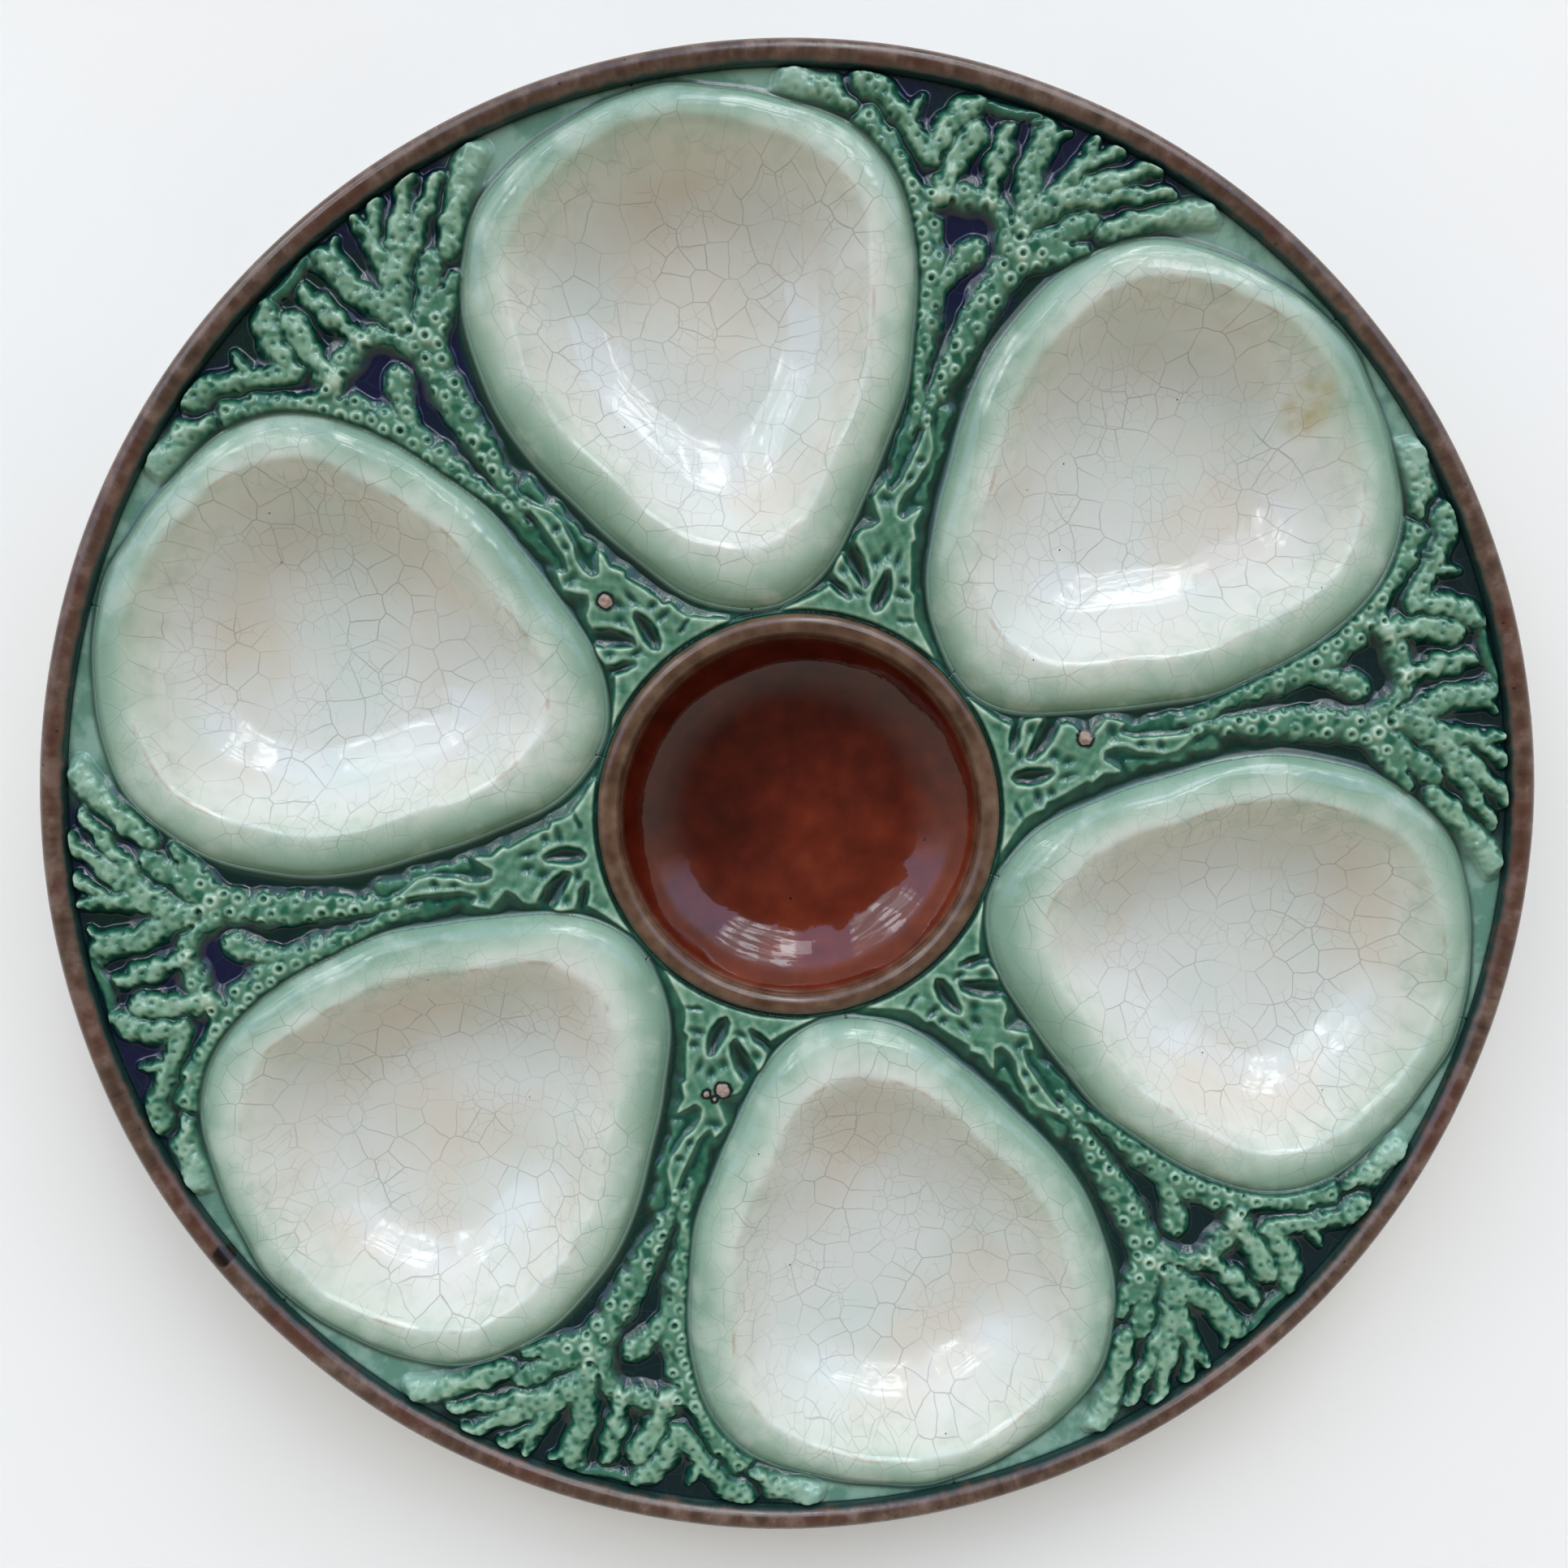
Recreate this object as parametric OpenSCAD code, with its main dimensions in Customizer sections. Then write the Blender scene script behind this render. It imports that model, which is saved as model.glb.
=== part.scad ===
// Oyster plate with six lobed oyster wells round a sauce well, coral relief between them.
// The plate rests on its foot ring at z = 0, and the z axis runs up through the sauce well.

/* [Plate] */
// Diameter over the rim
plate_d = 240; // [200:1:280]
// Height of the rim's crest above the table
plate_h = 25; // [23:0.5:30]
// Width of the raised rim band
rim_w = 4.2; // [3:0.1:6]
// Height of the rim's outer edge
edge_h = 8; // [6:0.1:9]
// How far the rim's crest stands above the ground beside it
rim_step = 2.6; // [1.5:0.1:4]
// How far the ground falls from the rim to the sauce well
ground_drop = 5; // [2:0.1:6]

/* [Dish] */
// Thickness of the dish that carries the wells
dish_t = 3.6; // [3:0.1:4.5]
// Width of the rising outer part of the dish
flare_w = 26; // [22:0.5:32]
// Clay between the dish and the ground at the rim
ground_skin = 1; // [0.8:0.1:1.4]

/* [Foot] */
// Height of the foot ring
foot_h = 4.5; // [4.2:0.1:5.5]
// Width of the foot ring where it meets the dish
foot_w = 7; // [5:0.5:9]
// Distance from the start of the flare to the foot ring's outer face
foot_inset = 14; // [8:0.5:22]
// How far each side of the foot ring leans in towards its resting face
foot_taper = 1.4; // [0.5:0.1:2]

/* [Sauce well] */
// Diameter over the sauce well's lip
sauce_d = 66; // [58:1:74]
// Width of the sauce well's lip
sauce_lip_w = 3.6; // [2.5:0.1:5]
// Height of the sauce well's lip above the ground beside it
sauce_rise = 2.4; // [1.5:0.1:3.5]
// Horizontal reach of the sauce well's wall, from the lip to the floor
sauce_wall_w = 5.6; // [4:0.1:8]
// Clay between the dish and the floors of all wells
floor_t = 1.6; // [1.2:0.1:2.2]

/* [Oyster wells] */
// Ground left between the sauce well's lip and the tip of an oyster well
well_gap_in = 1.5; // [1:0.1:4]
// Ground left between the broad end of an oyster well and the rim band
well_gap_out = 1.2; // [1:0.1:4]
// Width of the ground between two wells, across their widest part
channel_w = 20; // [16:0.5:28]
// Sideways lean of each well from its own radius
well_lean = 1.2; // [0:0.1:2]
// Height of a well's lip above the ground at the sauce well
lip_rise_in = 4.2; // [3:0.1:5.5]
// Height of a well's lip above the ground at the rim
lip_rise_out = 2.2; // [1.5:0.1:2.6]
// How far the deepest point lies outward of a well's middle
floor_shift = 4; // [0:0.5:6]

/* [Coral] */
// Height of the coral relief above the ground
coral_rise = 2; // [1:0.1:2.4]

/* [Hidden] */

$fn = 96;
well_count = 6;
// Direction of the first well, measured round from +X
first_well_deg = 103;
step_deg = 360 / well_count;
// Extra reach of a cutting shape past what it cuts
overrun = 2;

plate_r = plate_d / 2;
rim_in_r = plate_r - rim_w;
sauce_r = sauce_d / 2;
flat_r = rim_in_r - flare_w;
foot_r = flat_r - foot_inset;
under_z = foot_h;
dish_top_z = foot_h + dish_t;
floor_z = dish_top_z + floor_t;
ground_out_z = plate_h - rim_step;
ground_in_z = ground_out_z - ground_drop;
edge_z = plate_h - edge_h;
sauce_crest_z = ground_in_z + sauce_rise;
sauce_lip_in_r = sauce_r - sauce_lip_w;
sauce_floor_r = sauce_lip_in_r - sauce_wall_w;

// Oyster well: where it starts and ends along its radius, and its half width
well_in_y = sauce_r + well_gap_in;
well_out_y = rim_in_r - well_gap_out;
well_half_l = (well_out_y - well_in_y) / 2;
// The centre lies nearer the broad end: shares of the half length from the inner tip
well_centre_share = 1.1;
well_y = well_in_y + well_half_l * well_centre_share;
well_half_w = well_y * tan(step_deg / 2) - channel_w / 2;
// Shares of the half width and half length: a base round, then its waves of 1 to 6 lobes
well_base_share = 0.979;
lobe_cos_share = [0.021, 0.012, 0, 0.020, 0, -0.010];
lobe_sin_share = [-0.028, -0.007, 0.074, 0, 0, 0];
// Corners round one well's outline
outline_count = 32;

// Rings of a well's lip, from its foot inward: share of the outline, share of the lip's rise
lip_ring_share = [
    [1.02, 0.20], [0.975, 0.66], [0.945, 0.91], [0.905, 1], [0.840, 0.68]
];
// Rings of a well's hollow, from its lip inward: share of the outline, share of the depth
bowl_ring_share = [
    [0.790, 0.19], [0.710, 0.51], [0.600, 0.79], [0.430, 0.95], [0.200, 1]
];
// Steps of a curved profile, and of the dish's flare
curve_count = 8;
flare_count = 4;
// Facets round the ground under the coral, turned so that their edges miss the corners of
// the rings that cut it
ground_facets = 48;
ground_turn_deg = 0.8;

// Coral sprig, seen with the rim up: points as shares of the plate's radius, measured
// sideways from the sprig's own radius and outward from the plate's centre, then the
// branch's width at its start and at its end as shares of the same radius.
coral_branch_share = [
    // Left stem and its arm
    [[[-0.011, 0.500], [-0.022, 0.620], [-0.034, 0.700], [-0.044, 0.775]], 0.020, 0.050],
    [[[-0.044, 0.775], [-0.088, 0.825], [-0.197, 0.889]], 0.050, 0.034],
    // Stub between the stems
    [[[-0.018, 0.735], [0.004, 0.785]], 0.036, 0.042],
    // Right stem and its arm
    [[[0.021, 0.565], [0.026, 0.665], [0.070, 0.757], [0.165, 0.815]], 0.030, 0.040],
    [[[0.099, 0.800], [0.121, 0.842], [0.156, 0.861]], 0.040, 0.036],
    [[[0.169, 0.842], [0.228, 0.892], [0.300, 0.903]], 0.030, 0.034],
    // Arch that joins the two stems
    [[[-0.078, 0.832], [-0.030, 0.850], [0.030, 0.832], [0.049, 0.790]], 0.038, 0.034],
    // Two fingers on the arch
    [[[-0.053, 0.855], [-0.052, 0.942]], 0.040, 0.038],
    [[[0.008, 0.847], [0.006, 0.942]], 0.034, 0.033],
    // Right bush
    [[[0.073, 0.833], [0.046, 0.885], [0.047, 0.955]], 0.030, 0.044],
    [[[0.078, 0.833], [0.112, 0.900], [0.116, 0.964]], 0.034, 0.030],
    [[[0.119, 0.925], [0.158, 0.958]], 0.024, 0.020],
    [[[0.108, 0.880], [0.205, 0.950]], 0.034, 0.026],
    [[[0.100, 0.862], [0.237, 0.922]], 0.030, 0.014],
    // Left bush
    [[[-0.092, 0.880], [-0.096, 0.925], [-0.078, 0.966]], 0.028, 0.040],
    [[[-0.092, 0.880], [-0.150, 0.918], [-0.262, 0.934]], 0.026, 0.026],
    [[[-0.223, 0.894], [-0.310, 0.905]], 0.036, 0.034],
    // Fronds beside the sauce well
    [[[0.026, 0.574], [0.023, 0.510], [-0.008, 0.438]], 0.010, 0.040],
    [[[-0.008, 0.438], [0.008, 0.385], [0.000, 0.320]], 0.036, 0.034],
    [[[0.040, 0.443], [0.010, 0.380]], 0.010, 0.036],
    [[[0.041, 0.386], [0.040, 0.350], [0.060, 0.318]], 0.014, 0.042],
    [[[-0.034, 0.390], [-0.006, 0.335]], 0.018, 0.026],
    [[[-0.056, 0.347], [-0.020, 0.306]], 0.024, 0.026]
];
// Width of a branch's crest as a share of its width at the foot
coral_crest_share = 0.55;
coral_sides = 6;

// Waves of the well's outline at one direction
function lobe(deg) =
    well_base_share
    + lobe_cos_share * [for (i = [1 : len(lobe_cos_share)]) cos(i * deg)]
    + lobe_sin_share * [for (i = [1 : len(lobe_sin_share)]) sin(i * deg)];

// Point of the well's outline at one direction, shrunk to a share about its middle
function well_point(deg, share) = [
    well_lean + share * well_half_w * lobe(deg) * cos(deg),
    well_y + (1 - share) * floor_shift + share * well_half_l * lobe(deg) * sin(deg)
];

// Height of the dish's upper face, of its underside and of the ground at a distance from the axis
function flare(r) = pow(max(0, r - flat_r) / flare_w, 2);
function dish_z(r) = dish_top_z + (ground_out_z - ground_skin - dish_top_z) * flare(r);
function under_dish_z(r) = under_z + (edge_z - under_z) * flare(r);
function ground_z(r) = ground_in_z + ground_drop * (r - sauce_r) / (rim_in_r - sauce_r);

// Height of a well's lip and hollow
function lip_rise(y) =
    lip_rise_in + (lip_rise_out - lip_rise_in) * (y - well_in_y) / (well_out_y - well_in_y);
function lip_z(p, share) = ground_z(norm(p)) + lip_rise(p[1]) * share;
function bowl_start_z(deg) = lip_z(
    well_point(deg, lip_ring_share[len(lip_ring_share) - 1][0]),
    lip_ring_share[len(lip_ring_share) - 1][1]
);
function bowl_z(deg, share) = bowl_start_z(deg) + (floor_z - bowl_start_z(deg)) * share;

// Ring of points of a well's upper face
function well_ring(i) =
    i < len(lip_ring_share)
    ? [for (j = [0 : outline_count - 1])
        let (p = well_point(j * 360 / outline_count, lip_ring_share[i][0]))
        [p[0], p[1], lip_z(p, lip_ring_share[i][1])]]
    : [for (j = [0 : outline_count - 1])
        let (k = i - len(lip_ring_share), deg = j * 360 / outline_count)
        let (p = well_point(deg, bowl_ring_share[k][0]))
        [p[0], p[1], bowl_z(deg, bowl_ring_share[k][1])]];

function arc(x, z, r, from_deg, to_deg) = [
    for (i = [0 : curve_count])
        let (a = from_deg + (to_deg - from_deg) * i / curve_count)
        [x + r * cos(a), z + r * sin(a)]
];

// Radii at which a curved face of the dish is stepped
function flare_radii() = [
    for (i = [0 : flare_count]) flat_r + flare_w * i / flare_count
];

module well_outline() {
    polygon([for (j = [0 : outline_count - 1]) well_point(j * 360 / outline_count, 1)]);
}

module at_well(i) {
    rotate([0, 0, first_well_deg - 90 + i * step_deg])
        children();
}

// Solid of revolution from the dish's upper face to well above the rim
module above_dish() {
    rotate_extrude()
        polygon(concat(
            [[0, dish_top_z]],
            [for (r = flare_radii()) [r, dish_z(r)]],
            [[rim_in_r, plate_h + overrun], [0, plate_h + overrun]]
        ));
}

// Everything above a well's lip and hollow
module well_hollow() {
    rings = len(lip_ring_share) + len(bowl_ring_share);
    top = plate_h + 2 * overrun;
    lid = [for (p = well_ring(0)) [p[0], p[1], top]];
    points = concat(lid, [for (i = [0 : rings - 1]) each well_ring(i)]);
    sides = [
        for (i = [0 : rings - 1], j = [0 : outline_count - 1])
            let (k = (j + 1) % outline_count, a = i * outline_count, b = a + outline_count)
            [a + j, b + j, b + k, a + k]
    ];
    floor_face = [for (j = [0 : outline_count - 1]) rings * outline_count + j];
    lid_face = [for (j = [outline_count - 1 : -1 : 0]) j];
    polyhedron(points, concat(sides, [floor_face], [lid_face]));
}

module plate_body() {
    color("lightgoldenrodyellow")
        rotate_extrude()
            polygon(concat(
                [[0, under_z]],
                [for (r = flare_radii()) [r, under_dish_z(r)]],
                [for (i = [flare_count : -1 : 0]) let (r = flare_radii()[i]) [r, dish_z(r)]],
                [[0, dish_top_z]]
            ));
}

module foot_ring() {
    color("tan")
        rotate_extrude()
            polygon([
                [foot_r - foot_w, under_z],
                [foot_r - foot_w + foot_taper, 0],
                [foot_r - foot_taper, 0],
                [foot_r, under_z]
            ]);
}

module rim_band() {
    // The crest is a half round, and the outer edge turns under in a large round
    crest_r = rim_w / 2;
    under_r = min(rim_w, edge_h - crest_r);
    color("saddlebrown")
        rotate_extrude()
            polygon(concat(
                [[rim_in_r, edge_z]],
                arc(plate_r - under_r, edge_z + under_r, under_r, -90, 0),
                arc(plate_r - crest_r, plate_h - crest_r, crest_r, 0, 180)
            ));
}

module sauce_well() {
    // The lip is a half round, and the wall drops in a quarter of an ellipse to the floor
    lip_r = sauce_lip_w / 2;
    lip_z = sauce_crest_z - lip_r;
    color("sienna")
        rotate_extrude()
            polygon(concat(
                [[0, dish_top_z], [sauce_r, dish_top_z]],
                arc(sauce_r - lip_r, lip_z, lip_r, 0, 180),
                [for (i = [1 : curve_count])
                    let (a = 90 * i / curve_count)
                    [
                        sauce_floor_r + sauce_wall_w * cos(a),
                        lip_z + (floor_z - lip_z) * sin(a)
                    ]],
                [[0, floor_z]]
            ));
}

module oyster_well(i) {
    color("ivory")
        difference() {
            intersection() {
                above_dish();
                at_well(i)
                    linear_extrude(plate_h + overrun)
                        well_outline();
            }
            at_well(i)
                well_hollow();
        }
}

// One tapered peg of a coral branch, its foot sunk in the ground
module coral_peg(p, width) {
    base_z = ground_z(norm(p)) - ground_skin / 2;
    translate([p[0], p[1], base_z])
        cylinder(
            h = ground_skin / 2 + coral_rise,
            r1 = width / 2,
            r2 = width / 2 * coral_crest_share,
            $fn = coral_sides
        );
}

module coral_branch(points, width_start, width_end) {
    last = len(points) - 1;
    for (i = [0 : last - 1])
        hull()
            for (j = [i, i + 1])
                coral_peg(
                    points[j] * plate_r,
                    plate_r * (width_start + (width_end - width_start) * j / last)
                );
}

// Ground between the wells, from the dish's upper face up, running on under the lips
module coral_ground() {
    in_r = sauce_r - overrun;
    out_r = rim_in_r + overrun;
    radii = flare_radii();
    last_r = radii[flare_count - 1];
    // The dish's last slope runs on to the cutting edge
    last_slope = (dish_z(rim_in_r) - dish_z(last_r)) / (rim_in_r - last_r);
    rotate([0, 0, ground_turn_deg])
        rotate_extrude($fn = ground_facets)
            polygon(concat(
                [[in_r, dish_top_z]],
                [for (i = [0 : flare_count - 1]) [radii[i], dish_z(radii[i])]],
                [[out_r, dish_z(last_r) + last_slope * (out_r - last_r)]],
                [[out_r, ground_z(out_r)], [in_r, ground_z(in_r)]]
            ));
}

// Outline of one sprig's field: between two wells, from the sauce well to the rim
module coral_field() {
    half_deg = step_deg / 2;
    difference() {
        intersection() {
            circle(r = rim_in_r);
            polygon([
                [0, 0],
                plate_d * [sin(half_deg), cos(half_deg)],
                plate_d * [-sin(half_deg), cos(half_deg)]
            ]);
        }
        circle(r = sauce_r);
        for (side = [-1, 1])
            rotate(side * half_deg)
                well_outline();
    }
}

module coral_sprig(i) {
    color("seagreen")
        rotate([0, 0, first_well_deg - 90 + (i - 1 / 2) * step_deg])
            intersection() {
                union() {
                    coral_ground();
                    for (branch = coral_branch_share)
                        coral_branch(branch[0], branch[1], branch[2]);
                }
                linear_extrude(plate_h + overrun)
                    coral_field();
            }
}

plate_body();
foot_ring();
rim_band();
sauce_well();
oyster_well(0);  // oyster_well_1
oyster_well(1);  // oyster_well_2
oyster_well(2);  // oyster_well_3
oyster_well(3);  // oyster_well_4
oyster_well(4);  // oyster_well_5
oyster_well(5);  // oyster_well_6
coral_sprig(0);  // coral_sprig_1
coral_sprig(1);  // coral_sprig_2
coral_sprig(2);  // coral_sprig_3
coral_sprig(3);  // coral_sprig_4
coral_sprig(4);  // coral_sprig_5
coral_sprig(5);  // coral_sprig_6
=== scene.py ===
"""Majolica oyster plate: six lobed cream wells, coral relief, brown rim and sauce well."""

import logging
import math
from collections.abc import Callable, Sequence
from dataclasses import dataclass, field
from enum import Enum

import bmesh
import bpy
import numpy as np
from mathutils import Matrix, Vector


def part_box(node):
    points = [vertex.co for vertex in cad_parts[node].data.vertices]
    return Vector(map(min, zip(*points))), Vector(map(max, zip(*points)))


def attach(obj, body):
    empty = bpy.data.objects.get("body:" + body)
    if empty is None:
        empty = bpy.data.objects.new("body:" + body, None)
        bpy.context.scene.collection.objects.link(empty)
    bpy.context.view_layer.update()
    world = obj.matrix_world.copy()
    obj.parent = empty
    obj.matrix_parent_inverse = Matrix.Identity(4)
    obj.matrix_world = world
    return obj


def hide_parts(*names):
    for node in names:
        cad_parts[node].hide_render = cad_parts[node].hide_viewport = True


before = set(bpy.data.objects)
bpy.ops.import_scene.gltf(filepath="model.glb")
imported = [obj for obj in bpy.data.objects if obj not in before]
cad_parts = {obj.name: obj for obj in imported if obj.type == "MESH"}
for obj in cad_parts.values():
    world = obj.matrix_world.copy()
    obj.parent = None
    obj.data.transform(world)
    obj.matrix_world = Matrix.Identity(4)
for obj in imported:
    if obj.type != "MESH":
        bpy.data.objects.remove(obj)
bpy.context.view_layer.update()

LOG = logging.getLogger("oyster_plate")

# One millimetre in the frame's metres
MM = 0.001
WELL_COUNT = 6
STEP_DEG = 360.0 / WELL_COUNT
# Direction of the first well, counted from the photograph's right
FIRST_WELL_DEG = 103.0
# Units of the relief's drawing in the plate's radius
DRAWN_UNITS = 1000
# Distance given to places that are out of reach
FAR_MM = 9.0
BODY = "root"

Array = np.ndarray


class Slot(Enum):
    """Material slots of the record."""

    WELL = "well_cream_glaze"
    CORAL = "coral_green_glaze"
    RIM = "rim_brown_glaze"
    SAUCE = "sauce_brown_glaze"
    BACK = "back_glaze"
    FOOT = "foot_clay"


class Skin(Enum):
    """How the surface of a coral branch was modelled."""

    POLYPS = "polyps"
    PITS = "pits"
    LEAF = "leaf"
    SMOOTH = "smooth"


def smooth_step(low: float, high: float, value: Array) -> Array:
    """Ease from 0 at low to 1 at high.

    Args:
        low: Value that gives 0.
        high: Value that gives 1.
        value: Values to ease.

    Returns:
        The eased values.
    """
    share = np.clip((value - low) / (high - low), 0.0, 1.0)
    return share * share * (3.0 - 2.0 * share)


def eased_curve(value: Array, stops: Sequence[tuple[float, float]]) -> Array:
    """Smooth curve through a few stops, with level ends and no overshoot.

    Args:
        value: Places at which the curve is read.
        stops: Place and height of each stop, in rising order of place.

    Returns:
        The curve's height at each place.
    """
    places = np.array([stop[0] for stop in stops])
    heights = np.array([stop[1] for stop in stops])
    slopes = np.diff(heights) / np.diff(places)
    tangents = np.zeros(len(stops))
    for i in range(1, len(stops) - 1):
        if slopes[i - 1] * slopes[i] > 0:
            tangents[i] = 2 * slopes[i - 1] * slopes[i] / (slopes[i - 1] + slopes[i])
    index = np.clip(np.searchsorted(places, value) - 1, 0, len(stops) - 2)
    width = places[index + 1] - places[index]
    t = np.clip((value - places[index]) / width, 0.0, 1.0)
    return (
        heights[index] * (2 * t**3 - 3 * t**2 + 1)
        + heights[index + 1] * (3 * t**2 - 2 * t**3)
        + width * (tangents[index] * (t**3 - 2 * t**2 + t) + tangents[index + 1] * (t**3 - t**2))
    )


def soft_noise(x: Array, y: Array, wave: float, seed: int) -> Array:
    """Sum of a few seeded waves, for the slow unevenness of handmade clay.

    Args:
        x: Places along X in millimetres.
        y: Places along Y in millimetres.
        wave: Mean wavelength in millimetres.
        seed: Seed of the waves' directions and phases.

    Returns:
        Values between about -1 and 1.
    """
    rng = np.random.default_rng(seed)
    total = np.zeros_like(x, dtype=float)
    count = 7
    for _ in range(count):
        turn = rng.uniform(0, 2 * math.pi)
        phase = rng.uniform(0, 2 * math.pi)
        number = 2 * math.pi / (wave * rng.uniform(0.6, 1.6))
        total += np.sin(number * (x * math.cos(turn) + y * math.sin(turn)) + phase)
    return total / (count**0.5)


@dataclass
class PlateForm:
    """Sizes of the plate in millimetres, and the heights of its moulded surfaces."""

    radius: float
    crest_z: float
    edge_z: float
    foot_h: float
    foot_r: float
    sauce_r: float
    sauce_crest_z: float
    dish_top_z: float
    rim_w: float = 4.2
    rim_step: float = 2.6
    ground_drop: float = 5.0
    flare_w: float = 26.0
    ground_skin: float = 1.0
    floor_t: float = 1.6
    sauce_lip_w: float = 3.6
    sauce_wall_w: float = 5.6
    well_gap_in: float = 1.5
    well_gap_out: float = 1.2
    channel_w: float = 20.0
    well_lean: float = 1.2
    lip_rise_in: float = 4.2
    lip_rise_out: float = 2.2
    floor_shift: float = 4.0
    # Distance of a well's middle from its inner tip, as a share of its half length
    middle_share: float = 1.1
    foot_w: float = 7.0
    foot_taper: float = 1.4
    lobe_base: float = 0.979
    lobe_cos: tuple[float, ...] = (0.021, 0.012, 0.0, 0.020, 0.0, -0.010)
    lobe_sin: tuple[float, ...] = (-0.028, -0.007, 0.074, 0.0, 0.0, 0.0)
    # Finer waves of the outline left by the hand-cut mould: how many, and their cosine and sine shares
    lobe_waves: tuple[tuple[int, float, float], ...] = (
        (2, -0.0045, 0.0010), (4, 0.0, 0.0070), (6, -0.0020, 0.0020), (7, -0.0045, -0.0014),
        (8, -0.0020, 0.0014), (13, 0.0015, 0.0010), (17, 0.0010, -0.0015),
    )
    # Waves of a lip's crest: how many, their depth and their phase
    scallop_waves: tuple[tuple[int, float, float], ...] = ((13, 0.004, 1.0), (8, 0.005, 2.4), (21, 0.002, 0.0))
    # How far the hand pushed each well sideways, clockwise, before the clay was dry
    pushed: tuple[float, ...] = (0.4, 0.7, 0.0, 0.0, 0.4, -1.7)
    # Width over which a push fades out towards the sauce well and the rim
    push_fade: float = 14.0
    # Share of the outline on which a lip's crest lies: at its sides, and how much nearer at the rim
    crest_share: float = 0.835
    crest_narrowing: float = 0.05
    # The same share on an even outline, against which the profiles of lip and bowl are given
    even_crest: float = 0.87
    # Share of the outline at which a bowl starts down, its height there as a share of the lip's rise,
    # and the even shares between which bowl and lip run together
    bowl_start: float = 0.82
    bowl_start_rise: float = 0.97
    bowl_blend: tuple[float, float] = (0.80, 0.865)
    # Height of a lip, as a share of its rise, against the share of an even outline
    lip_stops: tuple[tuple[float, float], ...] = (
        (0.60, 0.0),
        (0.80, 0.62),
        (0.835, 0.945),
        (0.86, 1.0),
        (0.91, 0.935),
        (0.95, 0.80),
        (0.975, 0.60),
        (0.992, 0.32),
        (1.008, 0.12),
        (1.03, 0.03),
        (1.05, 0.0),
    )
    # Depth of a hollow, as a share of its full depth, against the same share
    bowl_stops: tuple[tuple[float, float], ...] = (
        (0.0, 1.0),
        (0.20, 0.995),
        (0.42, 0.95),
        (0.58, 0.79),
        (0.69, 0.52),
        (0.765, 0.24),
        (0.81, 0.08),
        (0.85, 0.0),
    )

    @classmethod
    def from_frame(cls) -> "PlateForm":
        """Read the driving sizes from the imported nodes' boxes.

        Returns:
            The plate's form.
        """
        rim_low, rim_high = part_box("rim_band")
        foot_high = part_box("foot_ring")[1]
        sauce_low, sauce_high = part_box("sauce_well")
        return cls(
            radius=rim_high[0] / MM,
            crest_z=rim_high[2] / MM,
            edge_z=rim_low[2] / MM,
            foot_h=foot_high[2] / MM,
            foot_r=foot_high[0] / MM,
            sauce_r=sauce_high[0] / MM,
            sauce_crest_z=sauce_high[2] / MM,
            dish_top_z=sauce_low[2] / MM,
        )

    @property
    def rim_in_r(self) -> float:
        """Radius of the rim band's inner face."""
        return self.radius - self.rim_w

    @property
    def flat_r(self) -> float:
        """Radius at which the dish starts to rise."""
        return self.rim_in_r - self.flare_w

    @property
    def floor_z(self) -> float:
        """Height of the wells' floors."""
        return self.dish_top_z + self.floor_t

    @property
    def ground_out_z(self) -> float:
        """Height of the ground beside the rim."""
        return self.crest_z - self.rim_step

    @property
    def well_in_y(self) -> float:
        """Radius of a well's inner tip."""
        return self.sauce_r + self.well_gap_in

    @property
    def well_out_y(self) -> float:
        """Radius of a well's broad end."""
        return self.rim_in_r - self.well_gap_out

    @property
    def half_l(self) -> float:
        """Half length of a well."""
        return (self.well_out_y - self.well_in_y) / 2

    @property
    def well_y(self) -> float:
        """Radius of a well's middle."""
        return self.well_in_y + self.half_l * self.middle_share

    @property
    def half_w(self) -> float:
        """Half width of a well."""
        return self.well_y * math.tan(math.radians(STEP_DEG / 2)) - self.channel_w / 2

    def ground(self, r: Array) -> Array:
        """Height of the ground at a radius."""
        low = self.ground_out_z - self.ground_drop
        return low + self.ground_drop * (r - self.sauce_r) / (self.rim_in_r - self.sauce_r)

    def flare(self, r: Array) -> Array:
        """Share of the dish's rise at a radius."""
        return (np.maximum(0.0, r - self.flat_r) / self.flare_w) ** 2

    def dish(self, r: Array) -> Array:
        """Height of the dish's upper face at a radius."""
        return self.dish_top_z + (self.ground_out_z - self.ground_skin - self.dish_top_z) * self.flare(r)

    def under(self, r: Array) -> Array:
        """Height of the dish's underside at a radius."""
        return self.foot_h + (self.edge_z - self.foot_h) * self.flare(r)

    def lobe(self, turn: Array) -> Array:
        """Waves of a well's outline, with the small unevenness of a hand-finished mould.

        Args:
            turn: Directions from the well's middle in radians.

        Returns:
            The outline's reach as a share of the half sizes.
        """
        total = np.full_like(turn, self.lobe_base)
        for i, (cos_share, sin_share) in enumerate(zip(self.lobe_cos, self.lobe_sin), start=1):
            total += cos_share * np.cos(i * turn) + sin_share * np.sin(i * turn)
        for count, cos_share, sin_share in self.lobe_waves:
            total += cos_share * np.cos(count * turn) + sin_share * np.sin(count * turn)
        return total

    def scallop(self, turn: Array) -> Array:
        """Waves of a lip's crest, strongest along the well's sides."""
        return sum(depth * np.sin(count * turn + phase) for count, depth, phase in self.scallop_waves)

    def well_point(self, turn: Array, share: Array) -> tuple[Array, Array]:
        """Point of a well.

        Args:
            turn: Directions from the well's middle in radians.
            share: Shares of the outline.

        Returns:
            The places sideways and outward along the well's own radius, in millimetres.
        """
        reach = share * self.lobe(turn)
        return (
            self.well_lean + self.half_w * reach * np.cos(turn),
            self.well_y + (1 - share) * self.floor_shift + self.half_l * reach * np.sin(turn),
        )

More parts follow.
